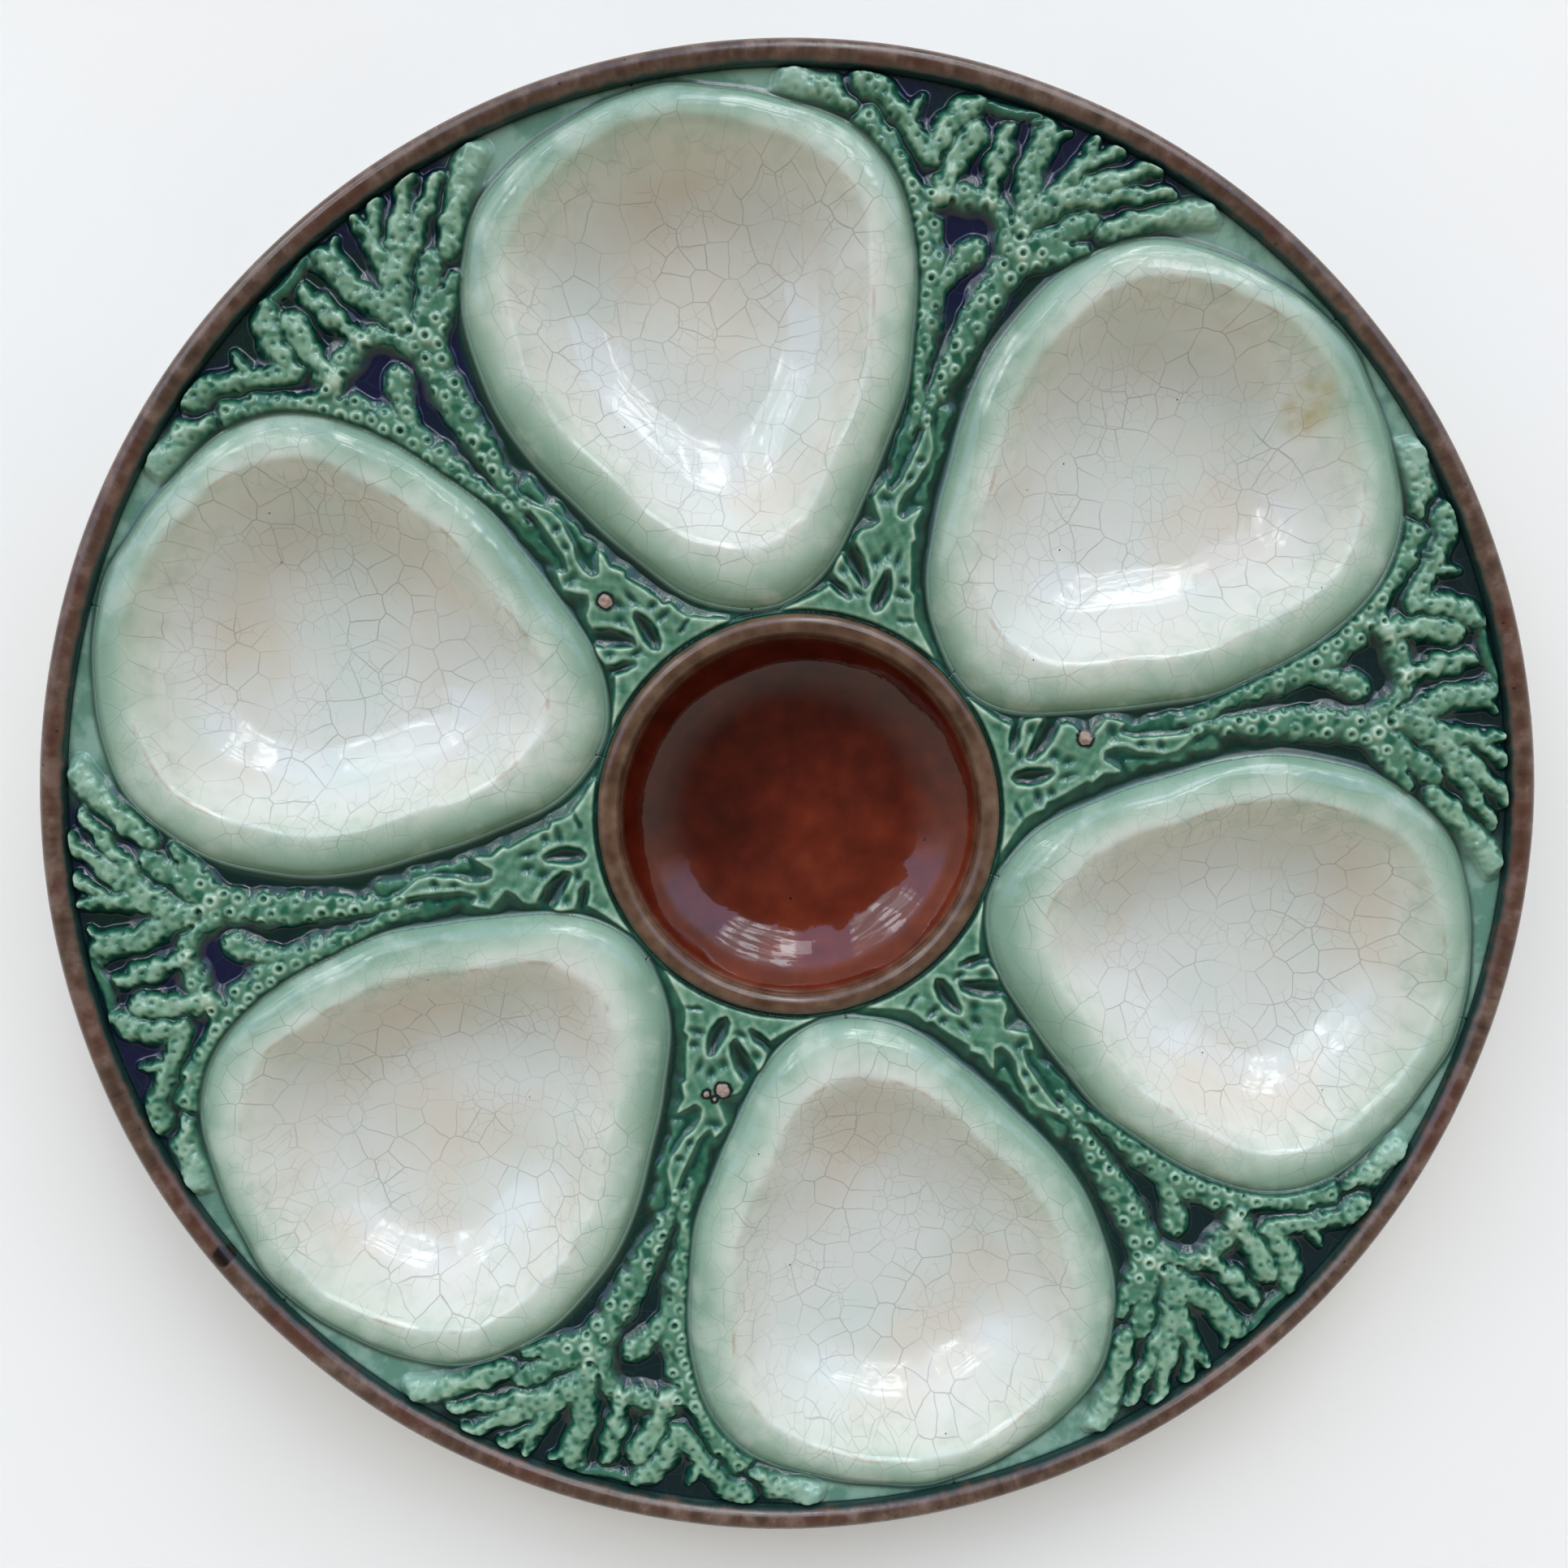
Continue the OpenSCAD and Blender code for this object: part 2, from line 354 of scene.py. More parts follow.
    def well_share(self, across: Array, out: Array) -> tuple[Array, Array]:
        """Share of a well's outline that a place lies on, and its direction from the middle.

        Args:
            across: Places sideways of the well's own radius in millimetres.
            out: Places along the well's own radius in millimetres.

        Returns:
            The shares and the directions in radians.
        """
        share = np.ones_like(across)
        turn = np.zeros_like(across)
        # The middle moves with the share, so a few rounds settle both
        for _ in range(4):
            shift = (1 - np.minimum(share, 1.3)) * self.floor_shift
            dx = (across - self.well_lean) / self.half_w
            dy = (out - self.well_y - shift) / self.half_l
            turn = np.arctan2(dy, dx)
            share = np.hypot(dx, dy) / self.lobe(turn)
        return share, turn

    def hand_moved(self, x: Array, y: Array) -> tuple[Array, Array]:
        """Push places round the plate a little, as each well was pushed by hand.

        Args:
            x: Places along X in millimetres.
            y: Places along Y in millimetres.

        Returns:
            The moved places.
        """
        r = np.hypot(x, y)
        turn = np.degrees(np.arctan2(y, x))
        push = np.zeros_like(r)
        for i, distance in enumerate(self.pushed):
            away = (turn - FIRST_WELL_DEG - i * STEP_DEG + 180) % 360 - 180
            share = 0.5 + 0.5 * np.cos(np.radians(away * 180 / STEP_DEG))
            push += distance * np.where(np.abs(away) < STEP_DEG, share, 0.0)
        fade_in = smooth_step(self.sauce_r, self.sauce_r + self.push_fade, r)
        push *= fade_in * smooth_step(self.rim_in_r, self.rim_in_r - self.push_fade, r)
        turn = np.radians(turn) - push / r
        return r * np.cos(turn), r * np.sin(turn)

    def lip_rise(self, out: Array) -> Array:
        """Full rise of a lip above the ground at a distance along the well's radius."""
        along = np.clip((out - self.well_in_y) / (self.well_out_y - self.well_in_y), -0.1, 1.1)
        return self.lip_rise_in + (self.lip_rise_out - self.lip_rise_in) * along

    def even_share(self, share: Array, turn: Array) -> Array:
        """Share of an even outline, for a lip that is broader at its sides.

        Args:
            share: Shares of the outline.
            turn: Directions from the well's middle in radians.

        Returns:
            The evened shares.
        """
        crest = self.crest_share + self.crest_narrowing * np.maximum(0.0, np.sin(turn)) ** 2
        beyond = 1 - (1 - share) * (1 - self.even_crest) / (1 - crest)
        even = np.where(share > crest, beyond, share * self.even_crest / crest)
        return even + self.scallop(turn) * smooth_step(1.0, 0.95, share) * smooth_step(0.5, 0.8, share)

    def lip_height(self, across: Array, out: Array, share: Array, turn: Array) -> Array:
        """Height of a lip's surface above the ground.

        Args:
            across: Places sideways of the well's radius; not used.
            out: Places along the well's radius.
            share: Shares of the outline.
            turn: Directions from the well's middle.

        Returns:
            The height above the ground in millimetres.
        """
        return self.lip_rise(out) * eased_curve(self.even_share(share, turn), self.lip_stops)

    def well_height(self, turn: Array, share: Array) -> Array:
        """Height of a well's upper surface.

        Args:
            turn: Directions from the well's middle.
            share: Shares of the outline.

        Returns:
            Heights above the table in millimetres.
        """
        across, out = self.well_point(turn, share)
        lip = self.ground(np.hypot(across, out)) + self.lip_height(across, out, share, turn)
        start_x, start_y = self.well_point(turn, np.full_like(share, self.bowl_start))
        start = self.ground(np.hypot(start_x, start_y)) + self.lip_rise(start_y) * self.bowl_start_rise
        even = self.even_share(share, turn)
        bowl = start + (self.floor_z - start) * eased_curve(even, self.bowl_stops)
        blend = smooth_step(*self.bowl_blend, even)
        return bowl * (1 - blend) + lip * blend


@dataclass(frozen=True)
class Branch:
    """One branch of the coral.

    Each point is its place sideways of the sprig's axis, its distance from the plate's
    centre and the branch's width there, in thousandths of the plate's radius.
    """

    skin: Skin
    rise: float
    points: tuple[tuple[int, int, int], ...]


CORAL_BRANCHES: tuple[Branch, ...] = (
    # Left stem, its arm and the finger beyond it
    Branch(Skin.POLYPS, 0.86, (
        (-4, 529, 13), (-3, 555, 17), (-10, 579, 21), (-17, 603, 24), (-20, 629, 28), (-25, 655, 35),
        (-29, 679, 40), (-33, 703, 43), (-40, 727, 45), (-47, 747, 45), (-57, 768, 40), (-67, 788, 39),
        (-79, 803, 40),
    )),
    Branch(Skin.POLYPS, 1.0, (
        (-79, 803, 41), (-97, 820, 37), (-118, 840, 35), (-140, 858, 35), (-162, 874, 37),
        (-183, 886, 39),
    )),
    Branch(Skin.PITS, 0.95, ((-216, 898, 27), (-236, 903, 35), (-262, 905, 39), (-290, 903, 43))),
    # Knob between the stems
    Branch(Skin.POLYPS, 0.95, ((-23, 724, 22), (-16, 744, 29), (-6, 760, 36), (3, 773, 39))),
    # Right stem and its three arms
    Branch(Skin.POLYPS, 0.86, (
        (8, 551, 17), (14, 581, 23), (17, 607, 30), (23, 633, 35), (27, 655, 38), (31, 679, 43),
        (36, 703, 46), (42, 727, 47), (48, 747, 49), (55, 766, 50), (63, 786, 49),
    )),
    Branch(Skin.POLYPS, 1.0, (
        (62, 786, 49), (80, 800, 42), (97, 816, 37), (114, 833, 33), (132, 847, 33), (140, 853, 32),
    )),
    Branch(Skin.POLYPS, 0.95, ((73, 786, 42), (99, 799, 37), (121, 808, 32), (140, 813, 25), (160, 813, 10))),
    Branch(Skin.PITS, 0.95, (
        (161, 842, 24), (182, 859, 30), (208, 875, 34), (234, 890, 37), (258, 903, 39), (274, 908, 40),
    )),
    # Arch over the knob, its lump and its two fingers
    Branch(Skin.POLYPS, 1.0, (
        (-83, 816, 30), (-62, 827, 37), (-40, 835, 37), (-18, 839, 34), (3, 838, 31), (22, 829, 30),
        (35, 814, 29), (46, 794, 31),
    )),
    Branch(Skin.SMOOTH, 1.06, ((-58, 828, 37), (-58, 852, 34))),
    Branch(Skin.PITS, 1.0, ((-57, 847, 31), (-55, 878, 31), (-50, 895, 36), (-44, 909, 37))),
    Branch(Skin.PITS, 1.0, ((6, 837, 27), (1, 860, 27), (-2, 886, 28), (-4, 912, 28), (-5, 928, 26))),
    # Low patch beyond the fingers
    Branch(Skin.PITS, 0.5, ((-34, 950, 15), (-1, 953, 17), (30, 958, 13))),
    # Right bush
    Branch(Skin.PITS, 0.95, (
        (62, 814, 17), (57, 833, 37), (50, 855, 39), (43, 881, 34), (43, 907, 37), (45, 933, 37),
        (43, 945, 32),
    )),
    Branch(Skin.PITS, 0.9, ((53, 933, 21), (72, 947, 8))),
    Branch(Skin.PITS, 0.95, (
        (59, 829, 39), (77, 855, 42), (89, 876, 31), (98, 900, 28), (105, 925, 26), (106, 950, 17),
    )),
    Branch(Skin.PITS, 0.95, ((108, 921, 23), (126, 934, 19), (142, 947, 15))),
    Branch(Skin.PITS, 1.0, (
        (88, 860, 37), (112, 881, 34), (134, 900, 32), (160, 918, 31), (178, 934, 26), (191, 943, 18),
    )),
    Branch(Skin.PITS, 0.95, (
        (95, 863, 33), (121, 876, 27), (151, 888, 25), (182, 901, 23), (206, 911, 18), (224, 917, 10),
    )),
    # Left bush
    Branch(Skin.PITS, 0.95, (
        (-84, 860, 19), (-97, 873, 30), (-110, 884, 32), (-136, 901, 33), (-162, 916, 35),
        (-188, 927, 36), (-205, 933, 27),
    )),
    Branch(Skin.PITS, 0.9, ((-130, 909, 19), (-120, 934, 7))),
    Branch(Skin.PITS, 1.0, ((-86, 864, 24), (-83, 890, 33), (-77, 915, 37), (-65, 934, 38), (-54, 945, 29))),
    # Low end of the left stem, seen between the fronds
    Branch(Skin.PITS, 0.42, ((-11, 466, 14), (-12, 493, 19), (-11, 527, 19), (-8, 554, 17))),
    # Dark flank of the right stem's end
    Branch(Skin.LEAF, 0.45, ((37, 454, 11), (40, 482, 14), (37, 516, 17), (34, 543, 22), (31, 568, 25))),
)

# Outline of the fronds beside the sauce well, in thousandths of the plate's radius
FROND_OUTLINE: tuple[tuple[int, int], ...] = (
    (10, 577), (17, 568), (21, 553), (30, 535), (37, 520), (37, 502), (31, 485), (26, 468), (16, 453),
    (13, 438), (15, 427), (21, 425), (29, 434), (38, 443), (46, 445), (46, 432), (43, 418), (48, 408),
    (52, 399), (48, 393), (51, 382), (56, 366), (61, 346), (62, 336), (70, 331), (72, 316), (76, 302),
    (89, 288), (106, 271), (120, 254), (-116, 254), (-97, 271), (-74, 291), (-57, 309), (-57, 332),
    (-57, 349), (-51, 356), (-43, 360), (-38, 371), (-38, 385), (-32, 395), (-19, 402), (-13, 410),
    (-22, 421), (-32, 436), (-27, 450), (-18, 466), (-8, 454), (1, 471), (6, 504), (9, 529), (8, 554),
    (6, 568),
)
# Deep slots between the fronds
FROND_SLOTS: tuple[tuple[tuple[int, int], ...], ...] = (
    ((-45, 370), (-34, 370), (-18, 357), (-8, 343), (-3, 329), (-6, 322), (-21, 333), (-38, 347), (-47, 358)),
    ((-57, 325), (-46, 318), (-32, 313), (-23, 303), (-36, 305), (-49, 311), (-58, 316)),
    ((23, 349), (27, 341), (30, 329), (29, 316), (23, 302), (16, 297), (11, 302), (10, 316), (14, 332), (19, 346)),
)
# Soft dents pressed along the fronds: place, then half length sideways and outward
FROND_DENTS: tuple[tuple[int, int, int, int], ...] = (
    (20, 500, 8, 6), (13, 475, 6, 7), (-11, 441, 13, 9), (13, 374, 7, 10), (1, 357, 8, 9), (32, 370, 5, 12),
    (-37, 336, 10, 8), (-11, 312, 10, 6), (48, 343, 8, 6), (48, 324, 14, 6), (56, 293, 7, 4), (68, 296, 7, 3),
)


@dataclass(frozen=True)
class StiltMark:
    """Bare spot where a kiln stilt broke away.

    Its place is sideways and outward of its sprig's axis, in thousandths of the radius.
    """

    sprig: int
    across: float
    out: float
    radius_mm: float


STILT_MARKS: tuple[StiltMark, ...] = (
    StiltMark(2, 3.0, 389.0, 1.0),
    StiltMark(4, -9.0, 392.0, 1.05),
    StiltMark(4, 11.5, 403.0, 0.4),
    StiltMark(4, -2.0, 407.0, 0.25),
    StiltMark(6, -10.5, 403.0, 1.0),
)


@dataclass
class CoralField:
    """Height of the ground between two wells, worked out once on a fine grid."""

    form: PlateForm
    step: float = 0.2
    rise: float = 2.1
    void_drop: float = 0.4
    foot_fillet: float = 0.8
    # Waver of the modelling tool: depth and wavelength of each wave
    waver: tuple[tuple[float, float], ...] = ((0.36, 4.2), (0.10, 1.7))
    # Back of a branch: powers of its round profile, and of the way in which backs join
    back_powers: tuple[float, float] = (2.8, 0.55)
    join_power: float = 6.0
    # Highest that joined backs may stand, as a share of the rise
    join_limit: float = 1.15
    # Share of the rise that polyps' branches lack, because their rings make it up
    polyp_sink: float = 0.24
    # Clay drawn up beside a branch: its height as a share of the branch's, and the distances over which it falls
    drawn_share: float = 0.30
    drawn_fall: tuple[float, float] = (-0.5, 1.5)
    # The same beside the fronds, and how much of it the deep slots lose
    frond_drawn: float = 0.36
    frond_drawn_fall: tuple[float, float] = (-2.2, 0.2)
    slot_loss: float = 0.9
    # Fronds: height of their backs, of their rolled edge and depth of their dents, as shares of the rise
    frond_rise: float = 0.66
    frond_edge: float = 0.08
    dent_depth: float = 0.30
    polyp_spacing: float = 2.2
    pit_spacing: float = 1.35
    # Polyps: height of the ring and the radii of its outer slope, depth and radius of its cup
    ring_rise: float = 0.5
    ring_radii: tuple[float, float] = (0.62, 1.22)
    cup_depth: float = 0.95
    cup_r: float = 0.40
    pit_depth: float = 0.5
    pit_r: float = 0.38
    pit_spread: float = 0.35
    # Greatest reach of a polyp or pit, and between which strengths they were pressed
    stamp_reach: float = 2.0
    stamp_strength: tuple[float, float] = (0.25, 1.10)
    # Distance from a well's lip inside which no polyp or pit was pressed
    lip_clear: float = 0.9
    # Lumps of the backs and slow unevenness of the whole field: height, wavelength and seed step of each wave
    lumps: tuple[tuple[float, float, int], ...] = ((0.09, 3.4, 3), (0.035, 1.4, 7))
    swell: tuple[float, float, int] = (0.08, 9.0, 4)
    # Reach of the blurs that fired glaze gives the drawn clay, the backs and the open ground
    drawn_blur: float = 0.5
    back_blur: float = 0.3
    fine_blur: float = 0.14
    open_blur: float = 0.4
    tone_blur: float = 0.45
    seed: int = 11
    columns: int = field(init=False)
    rows: int = field(init=False)
    low: tuple[float, float] = field(init=False)
    across: Array = field(init=False)
    out: Array = field(init=False)
    wavy_across: Array = field(init=False)
    wavy_out: Array = field(init=False)
    drawn: Array = field(init=False)
    height: Array = field(init=False)
    relief: Array = field(init=False)
    tone: Array = field(init=False)
    lip_mm: Array = field(init=False)

    def __post_init__(self) -> None:
        """Lay the grid over one sprig's field and work out its heights."""
        half = self.form.radius * 0.53
        low = self.form.sauce_r * math.cos(math.radians(STEP_DEG / 2)) - 1.0
        self.columns = int(2 * half / self.step)
        self.rows = int((self.form.rim_in_r + 1.0 - low) / self.step)
        self.low = (-half, low)
        xs = self.low[0] + np.arange(self.columns) * self.step
        ys = self.low[1] + np.arange(self.rows) * self.step
        self.across, self.out = np.meshgrid(xs, ys, indexing="ij")
        self.wavy_across = self.across.copy()
        self.wavy_out = self.out.copy()
        for i, (depth, wave) in enumerate(self.waver):
            self.wavy_across += depth * soft_noise(self.across, self.out, wave, self.seed + 8 + i)
            self.wavy_out += depth * soft_noise(self.across, self.out, wave, self.seed + 10 + i)
        self.drawn = np.zeros_like(self.across)
        self.build()

    def blurred(self, values: Array, sigma: float) -> Array:
        """Blur a grid of values.

        Args:
            values: The grid.
            sigma: Reach of the blur in millimetres.

        Returns:
            The blurred grid.
        """
        reach = max(1, int(3 * sigma / self.step))
        kernel = np.exp(-0.5 * (np.arange(-reach, reach + 1) * self.step / sigma) ** 2)
        kernel /= kernel.sum()
        result = values
        for axis in (0, 1):
            padded = np.pad(result, [(reach, reach) if i == axis else (0, 0) for i in (0, 1)], mode="edge")
            total = np.zeros_like(values)
            for i, weight in enumerate(kernel):
                window = [slice(None), slice(None)]
                window[axis] = slice(i, i + values.shape[axis])
                total += weight * padded[tuple(window)]
            result = total
        return result

    def waves(self, height: float, wave: float, seed_step: int) -> Array:
        """Slow waves over the whole field, from their height, wavelength and seed step."""
        return height * soft_noise(self.across, self.out, wave, self.seed + seed_step)

    def near(self, points: Array, reach: float) -> tuple[slice, slice]:
        """Part of the grid within reach of some points.

        Args:
            points: Places in millimetres.
            reach: Margin round them in millimetres.

        Returns:
            The rows and columns of that part.
        """
        spans = []
        for axis, count in ((0, self.columns), (1, self.rows)):
            first = int((points[:, axis].min() - reach - self.low[axis]) / self.step)
            last = int((points[:, axis].max() + reach - self.low[axis]) / self.step) + 2
            spans.append(slice(max(0, first), max(0, min(count, last))))
        return spans[0], spans[1]

    def add_branch(self, branch: Branch, backs: Array) -> None:
        """Raise one branch's rounded back on a grid, and the clay drawn up beside it.

        Args:
            branch: The branch.
            backs: Grid of backs as shares of the rise, which is changed.
        """
        points = np.array(branch.points) * self.form.radius / DRAWN_UNITS
        flatness, roundness = self.back_powers
        for start, end in zip(points, points[1:]):
            part = self.near(np.stack([start, end]), float(max(start[2], end[2])) + 2.0)
            x, y = self.wavy_across[part], self.wavy_out[part]
            along = end[:2] - start[:2]
            t = ((x - start[0]) * along[0] + (y - start[1]) * along[1]) / float(along @ along)
            t = np.clip(t, 0.0, 1.0)
            gap = np.hypot(x - start[0] - t * along[0], y - start[1] - t * along[1])
            half = (start[2] + (end[2] - start[2]) * t) / 2
            back = branch.rise * np.maximum(0.0, 1.0 - (gap / half) ** flatness) ** roundness
            backs[part] = np.maximum(backs[part], back)
            drawn = self.drawn_share * branch.rise * (1.0 - smooth_step(*self.drawn_fall, gap - half))
            self.drawn[part] = np.maximum(self.drawn[part], drawn)

    def inside_mm(self, outline: Sequence[tuple[int, int]]) -> Array:
        """Distance inside an outline.

        Args:
            outline: Corners in thousandths of the plate's radius.

        Returns:
            Distances in millimetres, below zero outside, and -FAR_MM out of reach.
        """
        points = np.array(outline) * self.form.radius / DRAWN_UNITS
        result = np.full_like(self.across, -FAR_MM)
        part = self.near(points, 2.0)
        x, y = self.across[part], self.out[part]
        gap = np.full_like(x, 99.0)
        crossings = np.zeros(x.shape, dtype=int)
        for start, end in zip(points, np.roll(points, -1, axis=0)):
            along = end - start
            t = ((x - start[0]) * along[0] + (y - start[1]) * along[1]) / float(along @ along)
            t = np.clip(t, 0.0, 1.0)
            gap = np.minimum(gap, np.hypot(x - start[0] - t * along[0], y - start[1] - t * along[1]))
            if start[1] != end[1]:
                spans = (start[1] > y) != (end[1] > y)
                crossings += spans & (x < start[0] + (y - start[1]) * along[0] / along[1])
        result[part] = np.where(crossings % 2 == 1, gap, -gap)
        return result

    def scattered(self, mask: Array, spacing: float, seed: int) -> Array:
        """Evenly scattered places inside a mask.

        Args:
            mask: Grid that is true where a place may lie.
            spacing: Least distance between two places in millimetres.
            seed: Seed of the scatter.

        Returns:
            One row of grid indices for each place.
        """
        rng = np.random.default_rng(seed)
        candidates = np.argwhere(mask)
        rng.shuffle(candidates)
        taken = np.zeros(mask.shape, dtype=bool)
        reach = int(spacing / self.step)
        disc = np.hypot(*np.mgrid[-reach:reach + 1, -reach:reach + 1]) * self.step < spacing
        places = []
        for i, j in candidates:
            if taken[i, j]:
                continue
            places.append((i, j))
            i0, i1 = max(0, i - reach), min(mask.shape[0], i + reach + 1)
            j0, j1 = max(0, j - reach), min(mask.shape[1], j + reach + 1)
            part = disc[i0 - i + reach:i1 - i + reach, j0 - j + reach:j1 - j + reach]
            taken[i0:i1, j0:j1] |= part
        return np.array(places)

    def stamp(
        self,
        values: Array,
        places: Array,
        shape: Callable[[Array], Array],
        seed: int,
        spread: float = 0.17,
    ) -> None:
        """Add a round shape to a grid at several places, in slightly different sizes.

        Args:
            values: Grid that is changed.
            places: Grid indices of the places.
            shape: Height of the shape against the distance from its centre.
            seed: Seed of the sizes.
            spread: Share by which the sizes differ.
        """
        rng = np.random.default_rng(seed)
        cells = int(self.stamp_reach / self.step) + 1
        gap = np.hypot(*np.mgrid[-cells:cells + 1, -cells:cells + 1]) * self.step
        for i, j in places:
            patch = shape(gap / rng.uniform(1 - spread, 1 + spread)) * rng.uniform(*self.stamp_strength)
            i0, i1 = max(0, i - cells), min(values.shape[0], i + cells + 1)
            j0, j1 = max(0, j - cells), min(values.shape[1], j + cells + 1)
            values[i0:i1, j0:j1] += patch[i0 - i + cells:i1 - i + cells, j0 - j + cells:j1 - j + cells]

    def frond_share(self) -> Array:
        """Height of the fronds, with the clay drawn up beside them.

        Returns:
            The height as a share of the rise.
        """
        outline = self.inside_mm(FROND_OUTLINE)
        inside = outline
        for slot in FROND_SLOTS:
            inside = np.minimum(inside, -self.inside_mm(slot))
        in_slot = smooth_step(0.0, -0.25, inside) * (outline > 0)
        drawn = self.frond_drawn * smooth_step(*self.frond_drawn_fall, outline)
        self.drawn = np.maximum(self.drawn, drawn) * (1 - self.slot_loss * in_slot)
        leaf = self.frond_rise * smooth_step(-0.35, 0.75, inside)
        leaf = leaf + self.frond_edge * np.exp(-(((inside - 0.75) / 0.5) ** 2))
        scale = self.form.radius / DRAWN_UNITS
        for x, y, half_x, half_y in FROND_DENTS:
            gap = ((self.across / scale - x) / half_x) ** 2 + ((self.out / scale - y) / half_y) ** 2
            leaf -= self.dent_depth * np.exp(-(gap**1.3)) * smooth_step(0.0, 1.0, inside)
        return np.maximum(leaf, 0.0)

    def lip_heights(self) -> Array:
        """Height of the two neighbouring lips above the ground, out over the field.

        Returns:
            The heights in millimetres.
        """
        form = self.form
        lips = np.zeros_like(self.across)
        self.lip_mm = np.full_like(self.across, 50.0)
        for side in (-1, 1):
            turn = math.radians(side * STEP_DEG / 2)
            across = self.across * math.cos(turn) - self.out * math.sin(turn)
            out = self.across * math.sin(turn) + self.out * math.cos(turn)
            share, direction = form.well_share(across, out)
            from_middle = np.hypot(across - form.well_lean, out - form.well_y)
            self.lip_mm = np.minimum(self.lip_mm, (share - 1.0) * from_middle / np.maximum(share, 0.2))
            lips = np.maximum(lips, form.lip_height(across, out, np.maximum(share, 0.9), direction))
        return lips

    def branch_backs(self) -> dict[Skin, Array]:
        """Rounded backs of the branches and the fronds.

        Returns:
            The backs' heights as shares of the rise, for each skin.
        """
        backs = {skin: np.zeros_like(self.across) for skin in Skin}
        for branch in CORAL_BRANCHES:
            self.add_branch(branch, backs[branch.skin])
        backs[Skin.LEAF] = np.maximum(backs[Skin.LEAF], self.frond_share())
        return backs

    def ring_shape(self, gap: Array) -> Array:
        """Height of a polyp's ring and cup at a distance from its middle."""
        ring = self.ring_rise * (1 - smooth_step(*self.ring_radii, gap))
        return ring - self.cup_depth * np.exp(-((gap / self.cup_r) ** 2))

    def stamped(self, backs: dict[Skin, Array], polyp_zone: Array) -> tuple[Array, Array]:
        """Press the polyps and pits into the backs.

        Args:
            backs: The backs for each skin.
            polyp_zone: Share by which each place belongs to a polyps' branch.

        Returns:
            The height that they add in millimetres, and the tone that they give the glaze.
        """
        clear = self.lip_mm > self.lip_clear
        ring_zone = (polyp_zone > 0.5) & (backs[Skin.POLYPS] > 0.5) & clear
        polyps = self.scattered(ring_zone, self.polyp_spacing, self.seed)
        pit_zone = (backs[Skin.PITS] > 0.6) & (backs[Skin.PITS] > backs[Skin.POLYPS]) & clear
        pits = self.scattered(pit_zone, self.pit_spacing, self.seed + 1)
        # Glaze is pale where it ran off the polyps' rings, and dark where it filled the pits
        stamps = (
            (
                self.ring_shape,
                lambda gap: -self.pit_depth * np.exp(-((gap / self.pit_r) ** 2)),
            ),
            (
                lambda gap: 0.27 * np.exp(-(((gap - 0.80) / 0.32) ** 2)) - 0.12 * np.exp(-((gap / 0.36) ** 2)),
                lambda gap: -0.28 * np.exp(-((gap / 0.44) ** 2)),
            ),
        )
        grids = []
        for ring, pit in stamps:
            grid = np.zeros_like(self.across)
            self.stamp(grid, polyps, ring, self.seed + 5)
            self.stamp(grid, pits, pit, self.seed + 6, self.pit_spread)
            grids.append(grid)
        return grids[0], grids[1]

    def build(self) -> None:
        """Work out the heights of ground, lips, branches, polyps and pits, and the glaze's tone."""
        form = self.form
        r = np.hypot(self.across, self.out)
        lips = self.lip_heights()
        fade = smooth_step(0.25, 0.9, self.lip_mm) * smooth_step(0.0, 0.6, form.rim_in_r - r)
        fade *= smooth_step(0.1, 0.9, r - form.sauce_r)

        backs = self.branch_backs()
        joined = sum(backs[skin] ** self.join_power for skin in Skin) ** (1 / self.join_power)
        body = np.minimum(joined, self.join_limit)
        polyp_zone = smooth_step(0.9, 1.05, (backs[Skin.POLYPS] + 0.05) / (body + 0.01))
        leafy = backs[Skin.LEAF] >= body * 0.98
        relief = body * self.rise * (1 - self.polyp_sink * polyp_zone)
        detail, glaze = self.stamped(backs, polyp_zone)
        glaze -= 0.20 * smooth_step(0.3, 1.1, soft_noise(self.across, self.out, 3.1, self.seed + 12))
        self.drawn = self.blurred(self.drawn, self.drawn_blur)
        lumps = sum(self.waves(*wave) for wave in self.lumps)
        raised = smooth_step(0.2, 0.7, body)
        back = self.blurred(np.maximum(relief, self.rise * self.drawn) * fade, self.back_blur)
        relief = relief + (detail * ~leafy + lumps) * raised
        relief = np.maximum(relief, self.rise * self.drawn)
        relief = np.maximum(relief + self.waves(*self.swell), 0.0) * fade
        relief = self.blurred(relief, self.fine_blur) * raised + self.blurred(relief, self.open_blur) * (1 - raised)
        outer = smooth_step(0.60, 0.72, r / form.radius)
        sunk = self.void_drop * outer * smooth_step(0.5, 0.1, relief) * smooth_step(0.8, 2.2, self.lip_mm)
        total = (np.maximum(relief, 0.0) ** 3 + lips**3) ** (1 / 3) - sunk
        total = np.maximum(total, self.foot_fillet * smooth_step(1.3, 0.1, r - form.sauce_r))
        self.relief = relief
        self.height = np.minimum(total, form.crest_z - form.ground(r) - 0.05)
        fine = self.height - self.blurred(self.height, self.tone_blur)
        glaze = np.where(leafy, 0.8 * fine, self.blurred(glaze * raised, self.fine_blur))
        far = smooth_step(11.0, 17.0, np.degrees(np.abs(np.arctan2(self.across, self.out))))
        bushy = smooth_step(0.78, 0.84, r / form.radius) * (1 - far)
        # Glaze is pale on high backs and fine edges, and a little darker in the bushes
        crest = (0.29 + 0.02 * (1 - polyp_zone)) * back
        self.tone = 0.08 * far - 0.03 - 0.05 * bushy + crest + 0.4 * fine + glaze

